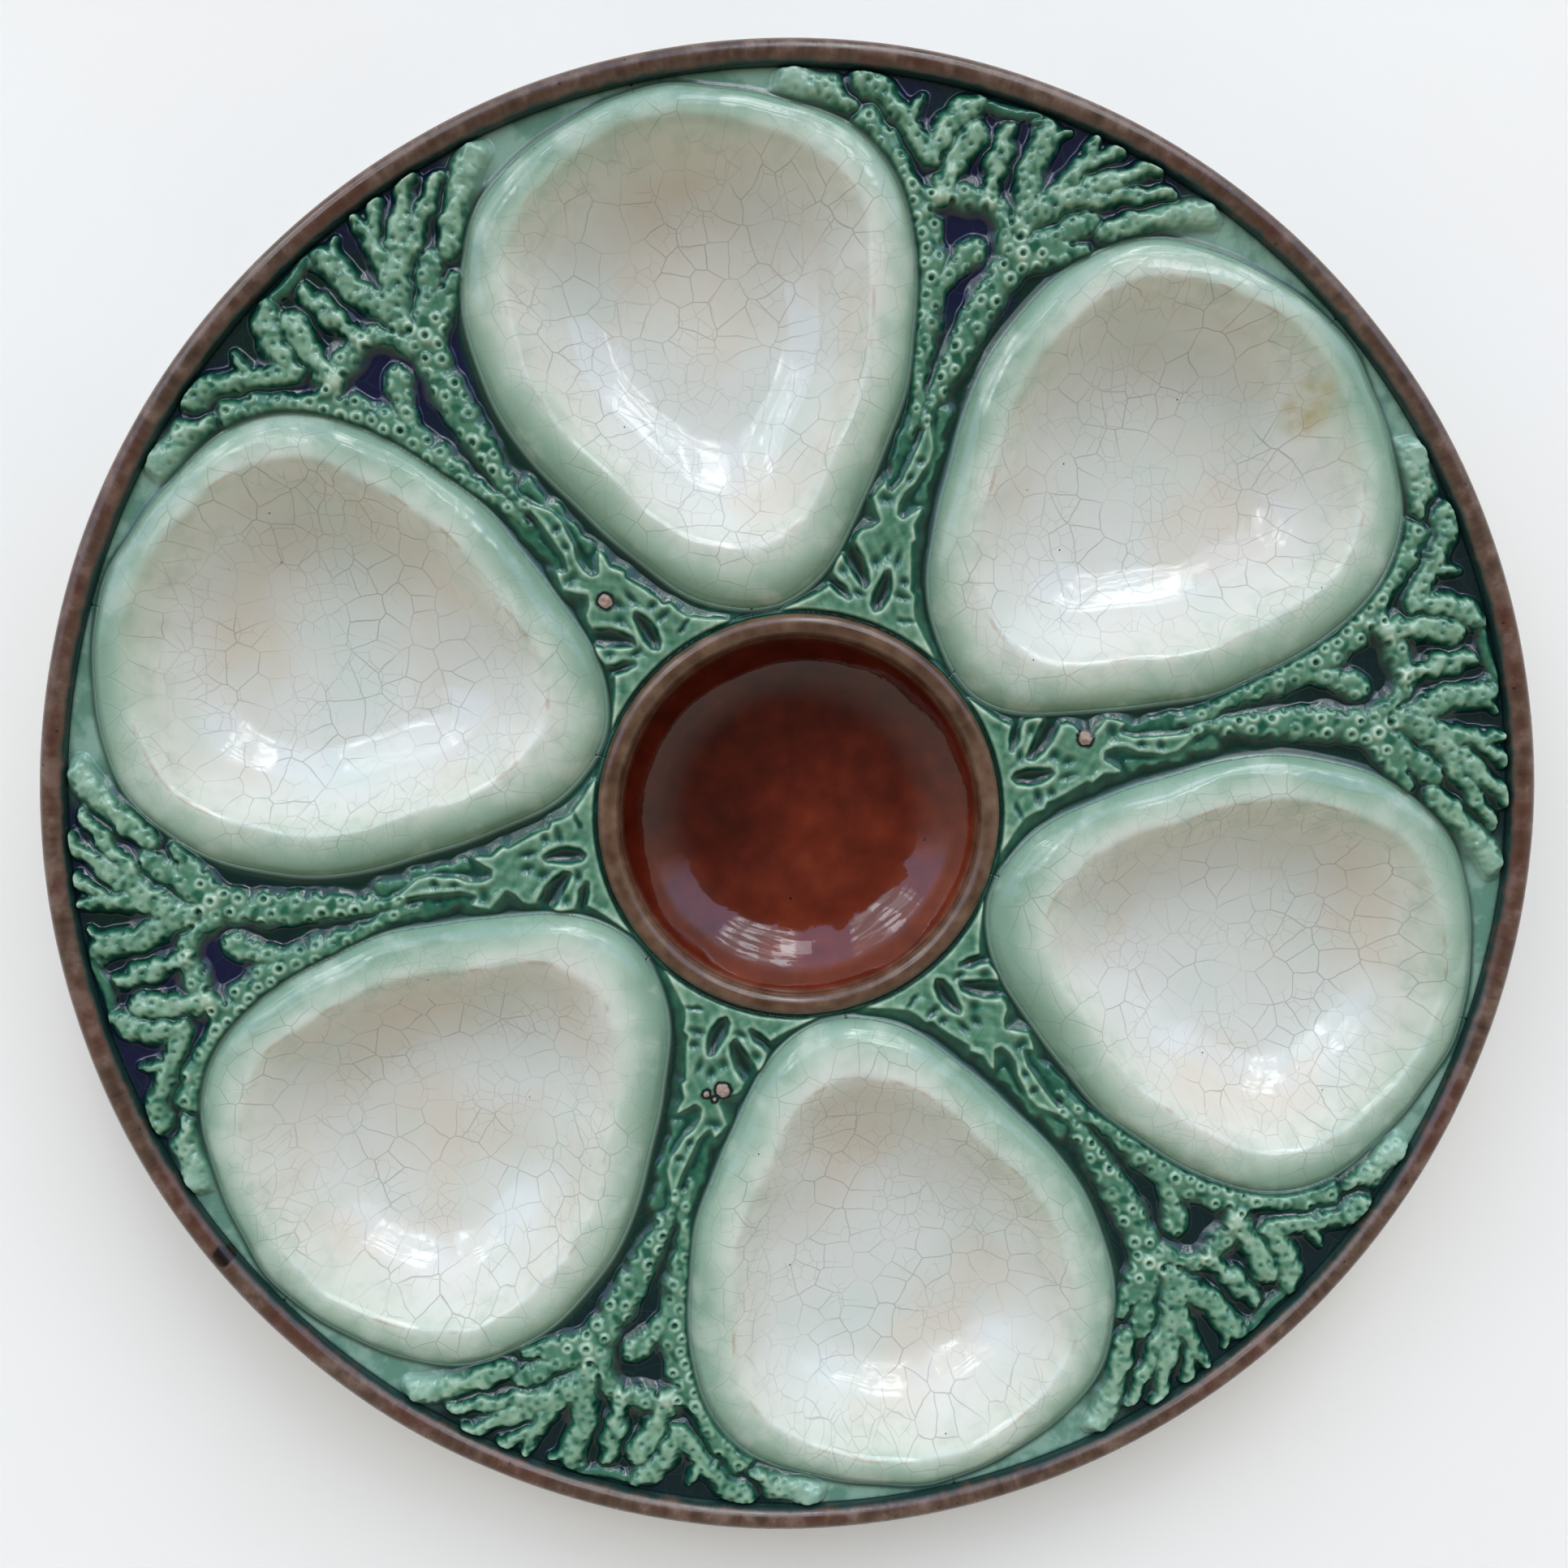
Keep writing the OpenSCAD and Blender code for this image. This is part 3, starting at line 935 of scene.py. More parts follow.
    def sample(self, values: Array, across: Array, out: Array) -> Array:
        """Read a grid between its points.

        Args:
            values: The grid.
            across: Places sideways in millimetres.
            out: Places outward in millimetres.

        Returns:
            The grid's values at the places.
        """
        i = np.clip((across - self.low[0]) / self.step, 0, self.columns - 1.001)
        j = np.clip((out - self.low[1]) / self.step, 0, self.rows - 1.001)
        i0, j0 = i.astype(int), j.astype(int)
        fi, fj = i - i0, j - j0
        return (
            values[i0, j0] * (1 - fi) * (1 - fj)
            + values[i0 + 1, j0] * fi * (1 - fj)
            + values[i0, j0 + 1] * (1 - fi) * fj
            + values[i0 + 1, j0 + 1] * fi * fj
        )


def linear(colour: str) -> tuple[float, float, float, float]:
    """Turn an sRGB hex colour to Blender's linear values.

    Args:
        colour: Six hex digits after a hash sign.

    Returns:
        Red, green, blue and full opacity.
    """
    parts = [int(colour[i:i + 2], 16) / 255 for i in (1, 3, 5)]
    values = [p / 12.92 if p <= 0.04045 else ((p + 0.055) / 1.055) ** 2.4 for p in parts]
    return (values[0], values[1], values[2], 1.0)


Socket = bpy.types.NodeSocket
Input = Socket | float | str | tuple[float, ...]
Collection = bpy.types.BlendDataMaterials | bpy.types.BlendDataWorlds


class Kind(Enum):
    """Kinds of node: Blender's name, the inputs in order, the output and the settings."""

    PLACE = "TexCoord", (), "Object", {}
    CARRIED = "Attribute", (), "Fac", {}
    AXES = "SeparateXYZ", (0,), "Z", {}
    EASE = "MapRange", ("Value", "From Min", "From Max", "To Min", "To Max"), "Result", {
        "interpolation_type": "SMOOTHSTEP"}
    TIMES = "Math", (0, 1), 0, {"operation": "MULTIPLY"}
    SUM = "Math", (0, 1, 2), 0, {"operation": "MULTIPLY_ADD"}
    LARGER = "Math", (0, 1), 0, {"operation": "MAXIMUM"}
    MOVED = "VectorMath", (0, 1), 0, {"operation": "ADD"}
    SCALED = "VectorMath", (0, "Scale"), 0, {"operation": "SCALE"}
    SPREAD = "VectorMath", (0, 1), 0, {"operation": "MULTIPLY"}
    UNIT = "VectorMath", (0,), 0, {"operation": "NORMALIZE"}
    COVER = "Mix", (6, 0, 7), 2, {"data_type": "RGBA"}
    RAMP = "ValToRGB", (0,), 0, {}
    FIRST = "SeparateColor", (0,), 0, {}
    CLOUD = "TexNoise", ("Scale", "Detail", "W", "Vector"), "Fac", {"noise_dimensions": "4D"}
    DRIFT = "TexNoise", ("Scale", "Detail", "W", "Vector"), "Color", {"noise_dimensions": "4D"}
    CRACKS = "TexVoronoi", ("Scale", "Vector"), "Distance", {
        "feature": "DISTANCE_TO_EDGE", "voronoi_dimensions": "2D"}
    SPOTS = "TexVoronoi", ("Scale", "Vector"), "Distance", {"feature": "F1"}
    TINTS = "TexVoronoi", ("Scale", "Vector"), "Color", {"feature": "F1"}
    TILT = "Bump", ("Height", "Distance", "Normal"), "Normal", {}
    SURFACE = "BsdfPrincipled", ("Base Color", "Roughness", "IOR", "Normal"), "BSDF", {}
    OUTPUT = "OutputMaterial", ("Surface",), None, {}
    ALONG = "VectorMath", (0, 1), "Value", {"operation": "DOT_PRODUCT"}
    GLOW = "Background", ("Color", "Strength"), "Background", {}
    SURROUND = "OutputWorld", ("Surface",), None, {}

    def __init__(self, blender_name: str, inputs: tuple, output: int | str | None, settings: dict) -> None:
        """Keep the parts under their names.

        Args:
            blender_name: Name of Blender's node, without its first word.
            inputs: Inputs that values are given to, in order.
            output: Output that is handed on.
            settings: Settings of the node.
        """
        self.blender_name = blender_name
        self.inputs = inputs
        self.output = output
        self.settings = settings


def per_mm(size: float) -> float:
    """Scale of a pattern whose lumps or cells measure about this many millimetres."""
    return 1 / (size * MM)


class Shader:
    """Node tree of one material or of the surroundings, built from its own coordinates."""

    def __init__(self, name: str, kept: Collection = bpy.data.materials) -> None:
        """Start a material.

        Args:
            name: Name of the material.
            kept: Where Blender keeps it.
        """
        self.material = kept.new(name)
        self.material.use_nodes = True
        self.tree = self.material.node_tree
        self.tree.nodes.clear()
        self.place = self.add(Kind.PLACE)

    def add(
        self,
        kind: Kind,
        *values: Input,
        stops: Sequence[tuple[float, str]] = (),
        carried: str = "",
    ) -> Socket | None:
        """Add a node with its settings and links.

        Args:
            kind: The kind of node.
            values: Sockets, hex colours or plain values for its inputs in order.
            stops: Places and colours of a colour ramp.
            carried: Name of the value that the mesh carries.

        Returns:
            The node's output.
        """
        node = self.tree.nodes.new("ShaderNode" + kind.blender_name)
        for key, setting in kind.settings.items():
            setattr(node, key, setting)
        links = dict(zip(kind.inputs, values))
        if "Vector" in kind.inputs:
            links.setdefault("Vector", self.place)
        for key, value in links.items():
            if isinstance(value, Socket):
                self.tree.links.new(value, node.inputs[key])
            else:
                node.inputs[key].default_value = linear(value) if isinstance(value, str) else value
        if carried:
            node.attribute_name = carried
        for at, _ in stops[1:-1]:
            node.color_ramp.elements.new(at)
        for element, (at, colour) in zip(node.color_ramp.elements if stops else (), stops):
            element.position, element.color = at, linear(colour)
        return None if kind.output is None else node.outputs[kind.output]


@dataclass(frozen=True)
class Clouds:
    """Soft patches in a glaze.

    They have a size in millimetres, the detail and offset of their noise, the noise values
    between which they fade in, and a least and a greatest strength.
    """

    size: float
    detail: float
    offset: float
    low: float
    high: float
    least: float = 0.0
    most: float = 1.0

    def paint(self, shader: Shader) -> Socket:
        """Add the patches to a material.

        Args:
            shader: The material's node tree.

        Returns:
            Strength of the patches at each place.
        """
        noise = shader.add(Kind.CLOUD, per_mm(self.size), self.detail, self.offset)
        return shader.add(Kind.EASE, noise, self.low, self.high, self.least, self.most)


@dataclass(frozen=True)
class Unevenness:
    """Slow waves of a glaze's surface: size and depth in millimetres, detail and offset of each."""

    waves: tuple[tuple[float, float, float, float], ...]

    def paint(self, shader: Shader) -> Socket:
        """Add the waves to a material, one over another.

        Args:
            shader: The material's node tree.

        Returns:
            The surface's direction at each place.
        """
        below: tuple[Socket, ...] = ()
        for size, depth, detail, offset in self.waves:
            noise = shader.add(Kind.CLOUD, per_mm(size), detail, offset)
            below = (shader.add(Kind.TILT, noise, depth * MM, *below),)
        return below[0]


@dataclass(frozen=True)
class Craze:
    """Network of fine cracks in an old glaze, in millimetres."""

    cell: float = 4.6
    fine_cell: float = 2.7
    line: float = 0.066
    waver: float = 2.6
    waver_wave: float = 7.0

    def paint(self, shader: Shader) -> Socket:
        """Add the network to a material.

        Args:
            shader: The material's node tree.

        Returns:
            Strength of the crack at each place.
        """
        add = shader.add
        centred = add(Kind.MOVED, add(Kind.DRIFT, per_mm(self.waver_wave), 2.0), (-0.5, -0.5, -0.5))
        place = add(Kind.MOVED, shader.place, add(Kind.SCALED, centred, self.waver * MM))
        layers = []
        # The strong cracks run everywhere, and the fine ones between them only in patches
        for cell, breadth, patches in (
            (self.cell, 2.2, Clouds(14.0, 2.0, 0.0, 0.40, 0.62, 0.25, 1.0)),
            (self.fine_cell, 1.6, Clouds(9.0, 2.0, 0.3, 0.46, 0.58, 0.0, 0.6)),
        ):
            crack = add(Kind.EASE, add(Kind.CRACKS, per_mm(cell), place), 0.0, breadth * self.line / cell, 1.0, 0.0)
            layers.append(add(Kind.TIMES, crack, patches.paint(shader)))
        return add(Kind.LARGER, *layers)


@dataclass(frozen=True)
class Specks:
    """Dark specks in a glaze: mean spacing and radius in millimetres, and share of the cells with one."""

    spacing: float
    radius: float
    share: float = 0.35

    def paint(self, shader: Shader) -> Socket:
        """Add the specks to a material.

        Args:
            shader: The material's node tree.

        Returns:
            Strength of the speck at each place.
        """
        add = shader.add
        size = self.radius / self.spacing
        dot = add(Kind.EASE, add(Kind.SPOTS, per_mm(self.spacing)), size * 1.4, size * 0.6)
        tint = add(Kind.FIRST, add(Kind.TINTS, per_mm(self.spacing)))
        return add(Kind.TIMES, dot, add(Kind.EASE, tint, 1 - self.share, 1.01 - self.share))


@dataclass(frozen=True)
class CreamGlaze:
    """Cream majolica glaze: a glassy crackled coat, green where it pools down the lips."""

    roughness: float = 0.040
    ior: float = 1.52

    def make(self) -> bpy.types.Material:
        """Build the material.

        Returns:
            The material.
        """
        shader = Shader("cream_majolica_glaze")
        add = shader.add
        edge = add(Kind.CARRIED, carried="edge_mm")
        moved = add(Kind.SUM, add(Kind.CLOUD, per_mm(7.0), 3.0), 3.0, add(Kind.SUM, edge, 1.0, -1.5))
        moved = add(Kind.SUM, add(Kind.CLOUD, per_mm(32.0), 2.0, 0.7), -9.0, add(Kind.SUM, moved, 1.0, 4.5))
        # Glaze on the lip, from the dark line at its foot to the hollow
        colour = add(Kind.RAMP, add(Kind.EASE, moved, 0.0, 10.0), stops=(
            (0.0, "#7f9e87"), (0.16, "#95ad96"), (0.34, "#abbda6"),
            (0.54, "#bec9b5"), (0.76, "#cdd1bf"), (1.0, "#d9d8c9"),
        ))
        mottle = Clouds(3.4, 4.0, 0.15, 0.44, 0.66, most=0.25).paint(shader)
        colour = add(Kind.COVER, colour, mottle, "#86a78f")
        bloom = Clouds(6.5, 4.0, 0.95, 0.50, 0.68, most=0.35).paint(shader)
        colour = add(Kind.COVER, colour, bloom, "#cfd6c6")
        # Floor of the hollow, with faint warm and green clouds
        warm = Clouds(26.0, 3.0, 0.11, 0.44, 0.66, most=0.7).paint(shader)
        cool = Clouds(18.0, 3.0, 0.27, 0.46, 0.70, most=0.5).paint(shader)
        floor = add(Kind.COVER, add(Kind.COVER, "#dbdacf", warm, "#d8cab4"), cool, "#ccd8cb")
        colour = add(Kind.COVER, colour, add(Kind.EASE, moved, 6.0, 14.0), floor)
        # Old stains along the inner edge of the lip
        hem = add(Kind.CARRIED, carried="hem_mm")
        band = add(Kind.TIMES, add(Kind.EASE, hem, -0.4, 0.0), add(Kind.EASE, hem, 0.6, 0.1))
        band = add(Kind.TIMES, band, Clouds(5.0, 5.0, 0.4, 0.50, 0.66, most=0.45).paint(shader))
        colour = add(Kind.COVER, colour, band, "#a9805f")
        yellow = Clouds(4.0, 3.0, 0.9, 0.35, 0.6, 0.2, 0.8).paint(shader)
        yellow = add(Kind.TIMES, yellow, add(Kind.CARRIED, carried="stain_share"))
        colour = add(Kind.COVER, colour, yellow, "#b3a468")
        crack = add(Kind.TIMES, Craze().paint(shader), add(Kind.EASE, edge, 0.5, 5.0, 0.30, 0.54))
        colour = add(Kind.COVER, colour, crack, "#7a776c")
        colour = add(Kind.COVER, colour, Specks(6.5, 0.16).paint(shader), "#4a4038")
        normal = Unevenness(((11.0, 0.30, 2.0, 0.5), (4.6, 0.07, 2.0, 0.2), (1.9, 0.02, 2.0, 0.6))).paint(shader)
        rough = Clouds(5.0, 3.0, 0.8, 0.35, 0.75, self.roughness * 0.7, self.roughness * 1.6).paint(shader)
        add(Kind.OUTPUT, add(Kind.SURFACE, colour, rough, self.ior, normal))
        return shader.material


@dataclass(frozen=True)
class GreenGlaze:
    """Translucent green majolica glaze: pale on the crests, dark where it runs together."""

    roughness: float = 0.065
    ior: float = 1.52

    def make(self) -> bpy.types.Material:
        """Build the material.

        Returns:
            The material.
        """
        shader = Shader("green_majolica_glaze")
        add = shader.add
        tone, relief, lip, open_ground, void, scar, rim = (
            add(Kind.CARRIED, carried=name)
            for name in ("tone", "relief_mm", "lip_mm", "open_share", "deep_share", "scar_mm", "rim_mm")
        )
        flowed = add(Kind.SUM, add(Kind.CLOUD, per_mm(2.2), 4.0), 0.4, add(Kind.SUM, tone, 1.0, -0.05))
        colour = add(Kind.RAMP, flowed, stops=(
            (0.12, "#092c23"), (0.27, "#164c3b"), (0.42, "#34694f"),
            (0.57, "#5c876b"), (0.74, "#86a78a"), (0.94, "#b8caaf"),
        ))
        # Dark glaze in the open ground between the branches, blue towards the upper left
        side = add(Kind.EASE, add(Kind.ALONG, shader.place, (-0.7, 0.7, 0.0)), -50 * MM, 60 * MM, 0.2, 1.0)
        blue = add(Kind.TIMES, side, Clouds(14.0, 2.0, 0.5, 0.36, 0.52).paint(shader))
        deep = add(Kind.COVER, "#07241f", blue, "#121536")
        colour = add(Kind.COVER, colour, add(Kind.TIMES, void, add(Kind.EASE, relief, 0.8, 0.2)), deep)
        # Pale shallow ground beside the wells' broad ends
        pale = add(Kind.COVER, "#93b5a0", Clouds(5.0, 3.0, 0.3, 0.45, 0.62).paint(shader), "#6b957f")
        shallow = add(Kind.TIMES, open_ground, add(Kind.EASE, lip, 0.3, 1.6, 0.0, 0.85))
        colour = add(Kind.COVER, colour, shallow, pale)
        # Dark line where the lip's glaze ends on the ground: glaze pooled in the low crease at the lip's foot, with
        # painted shade in that crease
        pooled_glaze_and_shade = add(Kind.TIMES, add(Kind.EASE, lip, 2.0, 1.0, 0.0, 0.68), add(Kind.EASE, relief, 1.3, 0.5))
        pooled_glaze_and_shade = add(Kind.TIMES, pooled_glaze_and_shade, add(Kind.EASE, open_ground, 0.9, 0.2, 0.1, 1.0))
        pooled_glaze_and_shade = add(Kind.TIMES, pooled_glaze_and_shade, Clouds(9.0, 3.0, 0.7, 0.40, 0.60, 0.3, 1.0).paint(shader))
        pooled_glaze_and_shade = add(Kind.TIMES, pooled_glaze_and_shade, add(Kind.EASE, void, 0.0, 1.0, 0.45, 1.0))
        colour = add(Kind.COVER, colour, pooled_glaze_and_shade, "#0f4031")
        colour = add(Kind.COVER, colour, add(Kind.EASE, lip, 0.8, -0.1), "#7f9f8a")
        # Painted shade: a dark line in the crease along the rim, faint beside the pale ground
        painted_rim_shade = add(Kind.EASE, rim, 0.8, 0.1, 0.0, 0.8)
        painted_rim_shade = add(Kind.TIMES, painted_rim_shade, add(Kind.EASE, open_ground, 0.7, 0.1, 0.15, 1.0))
        colour = add(Kind.COVER, colour, painted_rim_shade, "#132b2c")
        # Bare clay where the kiln stilt broke away, with the glaze drawn up dark round it
        ragged = add(Kind.SUM, add(Kind.CLOUD, per_mm(0.9), 3.0, 0.2), 0.8, scar)
        colour = add(Kind.COVER, colour, add(Kind.EASE, ragged, 1.25, 0.75), "#0e1d1a")
        colour = add(Kind.COVER, colour, add(Kind.EASE, ragged, 0.55, 0.35), "#a38b7c")
        crack = add(Kind.TIMES, Craze().paint(shader), 0.2)
        colour = add(Kind.COVER, colour, crack, "#2c5a48")
        normal = Unevenness(((1.5, 0.05, 3.0, 0.6),)).paint(shader)
        rough = add(Kind.EASE, ragged, 0.6, 0.35, self.roughness, 0.75)
        rough = add(Kind.LARGER, rough, add(Kind.EASE, relief, 0.7, 0.2, 0.0, 0.17))
        add(Kind.OUTPUT, add(Kind.SURFACE, colour, rough, self.ior, normal))
        return shader.material


@dataclass(frozen=True)
class RimGlaze:
    """Brown manganese glaze brushed round the rim, worn thin and pale on its crest."""

    roughness: float = 0.16
    ior: float = 1.52
    # Radius of the circle along which the brush's streaks are drawn, in millimetres
    brush_r: float = 120.0

    def make(self) -> bpy.types.Material:
        """Build the material.

        Returns:
            The material.
        """
        shader = Shader("brown_manganese_rim_glaze")
        add = shader.add
        inner, worn, bare = (add(Kind.CARRIED, carried=name) for name in ("inner_mm", "crest_share", "bare_mm"))
        around = add(Kind.UNIT, add(Kind.SPREAD, shader.place, (1.0, 1.0, 0.0)))
        ring = add(Kind.SCALED, around, self.brush_r * MM)
        streaks = add(Kind.CLOUD, per_mm(1.4), 3.0, 0.0, ring)
        mottle = add(Kind.CLOUD, per_mm(3.2), 3.0)
        tone = add(Kind.SUM, streaks, 0.4, add(Kind.TIMES, mottle, 0.6))
        colour = add(Kind.RAMP, tone, stops=(
            (0.26, "#2a1d15"), (0.42, "#4d392d"), (0.60, "#654d3e"), (0.80, "#7f6856"),
        ))
        red = add(Kind.EASE, add(Kind.CLOUD, per_mm(16.0), 3.0, 0.2, ring), 0.48, 0.64, 0.0, 0.5)
        colour = add(Kind.COVER, colour, red, "#5b3428")
        scraped = add(Kind.TIMES, worn, add(Kind.EASE, mottle, 0.46, 0.70, 0.0, 0.3))
        colour = add(Kind.COVER, colour, scraped, "#927c6f")
        # Green that bled over the band's inner edge
        bleed = add(Kind.SUM, add(Kind.CLOUD, per_mm(3.0), 3.0, 0.5, ring), 1.4, inner)
        colour = add(Kind.COVER, colour, add(Kind.EASE, bleed, 1.45, 0.8), "#1c3530")
        colour = add(Kind.COVER, colour, add(Kind.TIMES, Specks(2.4, 0.24).paint(shader), 0.8), "#22140f")
        # Spot that the glaze left bare
        ragged = add(Kind.SUM, add(Kind.CLOUD, per_mm(1.0), 3.0, 0.4), 1.0, bare)
        colour = add(Kind.COVER, colour, add(Kind.EASE, ragged, 1.5, 1.0), "#1b110e")
        normal = add(Kind.TILT, mottle, 0.06 * MM, add(Kind.TILT, streaks, 0.04 * MM))
        rough = add(Kind.EASE, mottle, 0.3, 0.75, self.roughness * 0.7, self.roughness * 2.0)
        add(Kind.OUTPUT, add(Kind.SURFACE, colour, rough, self.ior, normal))
        return shader.material


@dataclass(frozen=True)
class SauceGlaze:
    """Red-brown iron glaze of the sauce well: clear, mottled and mirror smooth."""

    roughness: float = 0.035
    lip_roughness: float = 0.16
    ior: float = 1.53

    def make(self) -> bpy.types.Material:
        """Build the material.

        Returns:
            The material.
        """
        shader = Shader("red_brown_iron_glaze")
        add = shader.add
        lip, edge, painted_shade = (add(Kind.CARRIED, carried=name) for name in ("lip_share", "outer_mm", "painted_shade_share"))
        cloud = add(Kind.TIMES, add(Kind.CLOUD, per_mm(17.0), 3.0, 0.3), 0.55)
        tone = add(Kind.SUM, add(Kind.CLOUD, per_mm(5.0), 5.0), 0.45, cloud)
        # Painted shade: the glaze is darker towards the top and left of the well, where the wall's shadow falls
        tone = add(Kind.SUM, painted_shade, -0.30, add(Kind.SUM, tone, 1.0, 0.12))
        colour = add(Kind.RAMP, tone, stops=(
            (0.22, "#2a0602"), (0.44, "#4b170b"), (0.62, "#662413"), (0.80, "#7d361d"),
        ))
        # Thin brown glaze on the lip, and green that bled over its outer foot
        streak = add(Kind.CLOUD, per_mm(3.5), 3.0, 0.7)
        crest = add(Kind.RAMP, streak, stops=((0.3, "#49301f"), (0.5, "#614634"), (0.7, "#775c47")))
        colour = add(Kind.COVER, colour, lip, crest)
        bleed = add(Kind.SUM, add(Kind.CLOUD, per_mm(3.0), 3.0, 0.5), 1.0, edge)
        colour = add(Kind.COVER, colour, add(Kind.EASE, bleed, 0.85, 0.45), "#2b5140")
        colour = add(Kind.COVER, colour, Specks(5.5, 0.28).paint(shader), "#1a0b07")
        normal = Unevenness(((9.0, 0.08, 2.0, 0.9), (1.8, 0.012, 2.0, 0.1))).paint(shader)
        rough = add(Kind.EASE, lip, 0.0, 1.0, self.roughness, self.lip_roughness)
        add(Kind.OUTPUT, add(Kind.SURFACE, colour, rough, self.ior, normal))
        return shader.material


@dataclass(frozen=True)
class BackGlaze:
    """Thin pale glaze of the back: crackled, greenish where it gathers."""

    roughness: float = 0.14
    ior: float = 1.5

    def make(self) -> bpy.types.Material:
        """Build the material.

        Returns:
            The material.
        """
        shader = Shader("pale_back_glaze")
        add = shader.add
        cloud = add(Kind.CLOUD, per_mm(22.0), 4.0)
        colour = add(Kind.RAMP, cloud, stops=((0.3, "#b0bda5"), (0.5, "#c1c5b1"), (0.7, "#cac7b5")))
        drip = Clouds(7.0, 4.0, 0.4, 0.54, 0.72, most=0.55).paint(shader)
        colour = add(Kind.COVER, colour, drip, "#86a892")
        colour = add(Kind.COVER, colour, add(Kind.TIMES, Craze().paint(shader), 0.45), "#7d776a")
        normal = Unevenness(((9.0, 0.16, 3.0, 0.2), (1.6, 0.03, 3.0, 0.6))).paint(shader)
        rough = add(Kind.EASE, cloud, 0.3, 0.8, self.roughness * 0.8, self.roughness * 1.8)
        add(Kind.OUTPUT, add(Kind.SURFACE, colour, rough, self.ior, normal))
        return shader.material


@dataclass(frozen=True)
class FootClay:
    """Foot ring: glazed down its sides, bare buff clay where it was wiped to stand."""

    glaze_roughness: float = 0.16
    clay_roughness: float = 0.85
    ior: float = 1.5
    # Heights in millimetres over which the glaze gives way to bare clay
    wiped: tuple[float, float] = (2.1, 1.5)

    def make(self) -> bpy.types.Material:
        """Build the material.

        Returns:
            The material.
        """
        shader = Shader("wiped_foot_clay")
        add = shader.add
        wavy = add(Kind.SUM, add(Kind.CLOUD, per_mm(6.0), 4.0), 1.6 * MM, add(Kind.AXES, shader.place))
        bare = add(Kind.EASE, wavy, self.wiped[0] * MM, self.wiped[1] * MM)
        grain = add(Kind.CLOUD, per_mm(0.7), 5.0, 0.3)
        clay = add(Kind.RAMP, grain, stops=((0.3, "#a98f72"), (0.5, "#c2a98a"), (0.75, "#d5c1a3")))
        stain = Clouds(11.0, 4.0, 0.8, 0.5, 0.72, most=0.45).paint(shader)
        clay = add(Kind.COVER, clay, stain, "#7c6550")
        glaze = add(Kind.RAMP, add(Kind.CLOUD, per_mm(16.0), 3.0, 0.5), stops=((0.35, "#b0bda5"), (0.6, "#c5c7b4")))
        colour = add(Kind.COVER, glaze, bare, clay)
        rough = add(Kind.EASE, bare, 0.0, 1.0, self.glaze_roughness, self.clay_roughness)
        add(Kind.OUTPUT, add(Kind.SURFACE, colour, rough, self.ior, add(Kind.TILT, grain, 0.05 * MM)))
        return shader.material


@dataclass(frozen=True)
class StudioPaper:
    """Matt white paper sweep under the plate."""

    colours: tuple[str, str] = ("#fdf8ee", "#fffbf2")
    roughness: float = 0.9

    def make(self) -> bpy.types.Material:
        """Build the material.

        Returns:
            The material.
        """
        shader = Shader("studio_paper")
        add = shader.add
        dark, pale = self.colours
        colour = add(Kind.RAMP, add(Kind.CLOUD, per_mm(60.0), 2.0), stops=((0.3, dark), (0.7, pale)))
        add(Kind.OUTPUT, add(Kind.SURFACE, colour, self.roughness))
        return shader.material


def spun(profile: Sequence[tuple[float, float]], steps: int) -> bmesh.types.BMesh:
    """Turn a profile once round the Z axis.

    Args:
        profile: Radius and height of each point, in millimetres.
        steps: Steps of the turn.

    Returns:
        The turned surface, closed where the profile meets the axis.
    """
    bm = bmesh.new()
    verts = [bm.verts.new((r * MM, 0.0, z * MM)) for r, z in profile]
    edges = [bm.edges.new(pair) for pair in zip(verts, verts[1:])]
    if profile[0][0] > 0 and profile[-1][0] > 0:
        edges.append(bm.edges.new((verts[-1], verts[0])))
    bmesh.ops.spin(
        bm,
        geom=verts + edges,
        cent=(0, 0, 0),
        axis=(0, 0, 1),
        angle=2 * math.pi,
        steps=steps,
        use_merge=True,
        use_duplicate=False,
    )
    bmesh.ops.remove_doubles(bm, verts=bm.verts, dist=1e-7)
    bmesh.ops.recalc_face_normals(bm, faces=bm.faces)
    return bm


def arc_points(x: float, z: float, r: float, start: float, end: float, count: int) -> list[tuple[float, float]]:
    """Points along an arc of a profile.

    Args:
        x: Radius of the arc's centre from the axis.
        z: Height of the arc's centre.
        r: Radius of the arc.
        start: First direction in degrees.
        end: Last direction in degrees.
        count: Steps of the arc.

    Returns:
        The points.
    """
    turns = [math.radians(start + (end - start) * i / count) for i in range(count + 1)]
    return [(x + r * math.cos(turn), z + r * math.sin(turn)) for turn in turns]


def kept_mesh(name: str, bm: bmesh.types.BMesh) -> bpy.types.Mesh:
    """Keep what was modelled as a mesh of the scene.

    Args:
        name: Name of the mesh.
        bm: What was modelled, which is used up.

    Returns:
        The mesh.
    """
    mesh = bpy.data.meshes.new(name)
    bm.to_mesh(mesh)
    bm.free()
    return mesh


def place_mesh(
    name: str,
    mesh: bpy.types.Mesh,
    material: bpy.types.Material,
    slot: Slot,
    nodes: Sequence[str],
) -> bpy.types.Object:
    """Put a mesh in the scene as a smooth piece.

    Args:
        name: Name of the piece.
        mesh: Its mesh.
        material: Its material.
        slot: Its slot in the record; not used.
        nodes: Nodes that it replaces.

    Returns:
        The piece.
    """
    mesh.materials.clear()
    mesh.materials.append(material)
    mesh.shade_smooth()
    piece = bpy.data.objects.new(name, mesh)
    bpy.context.scene.collection.objects.link(piece)
    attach(piece, BODY)
    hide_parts(*nodes)
    LOG.info("%s: %d faces", name, len(mesh.polygons))
    return piece


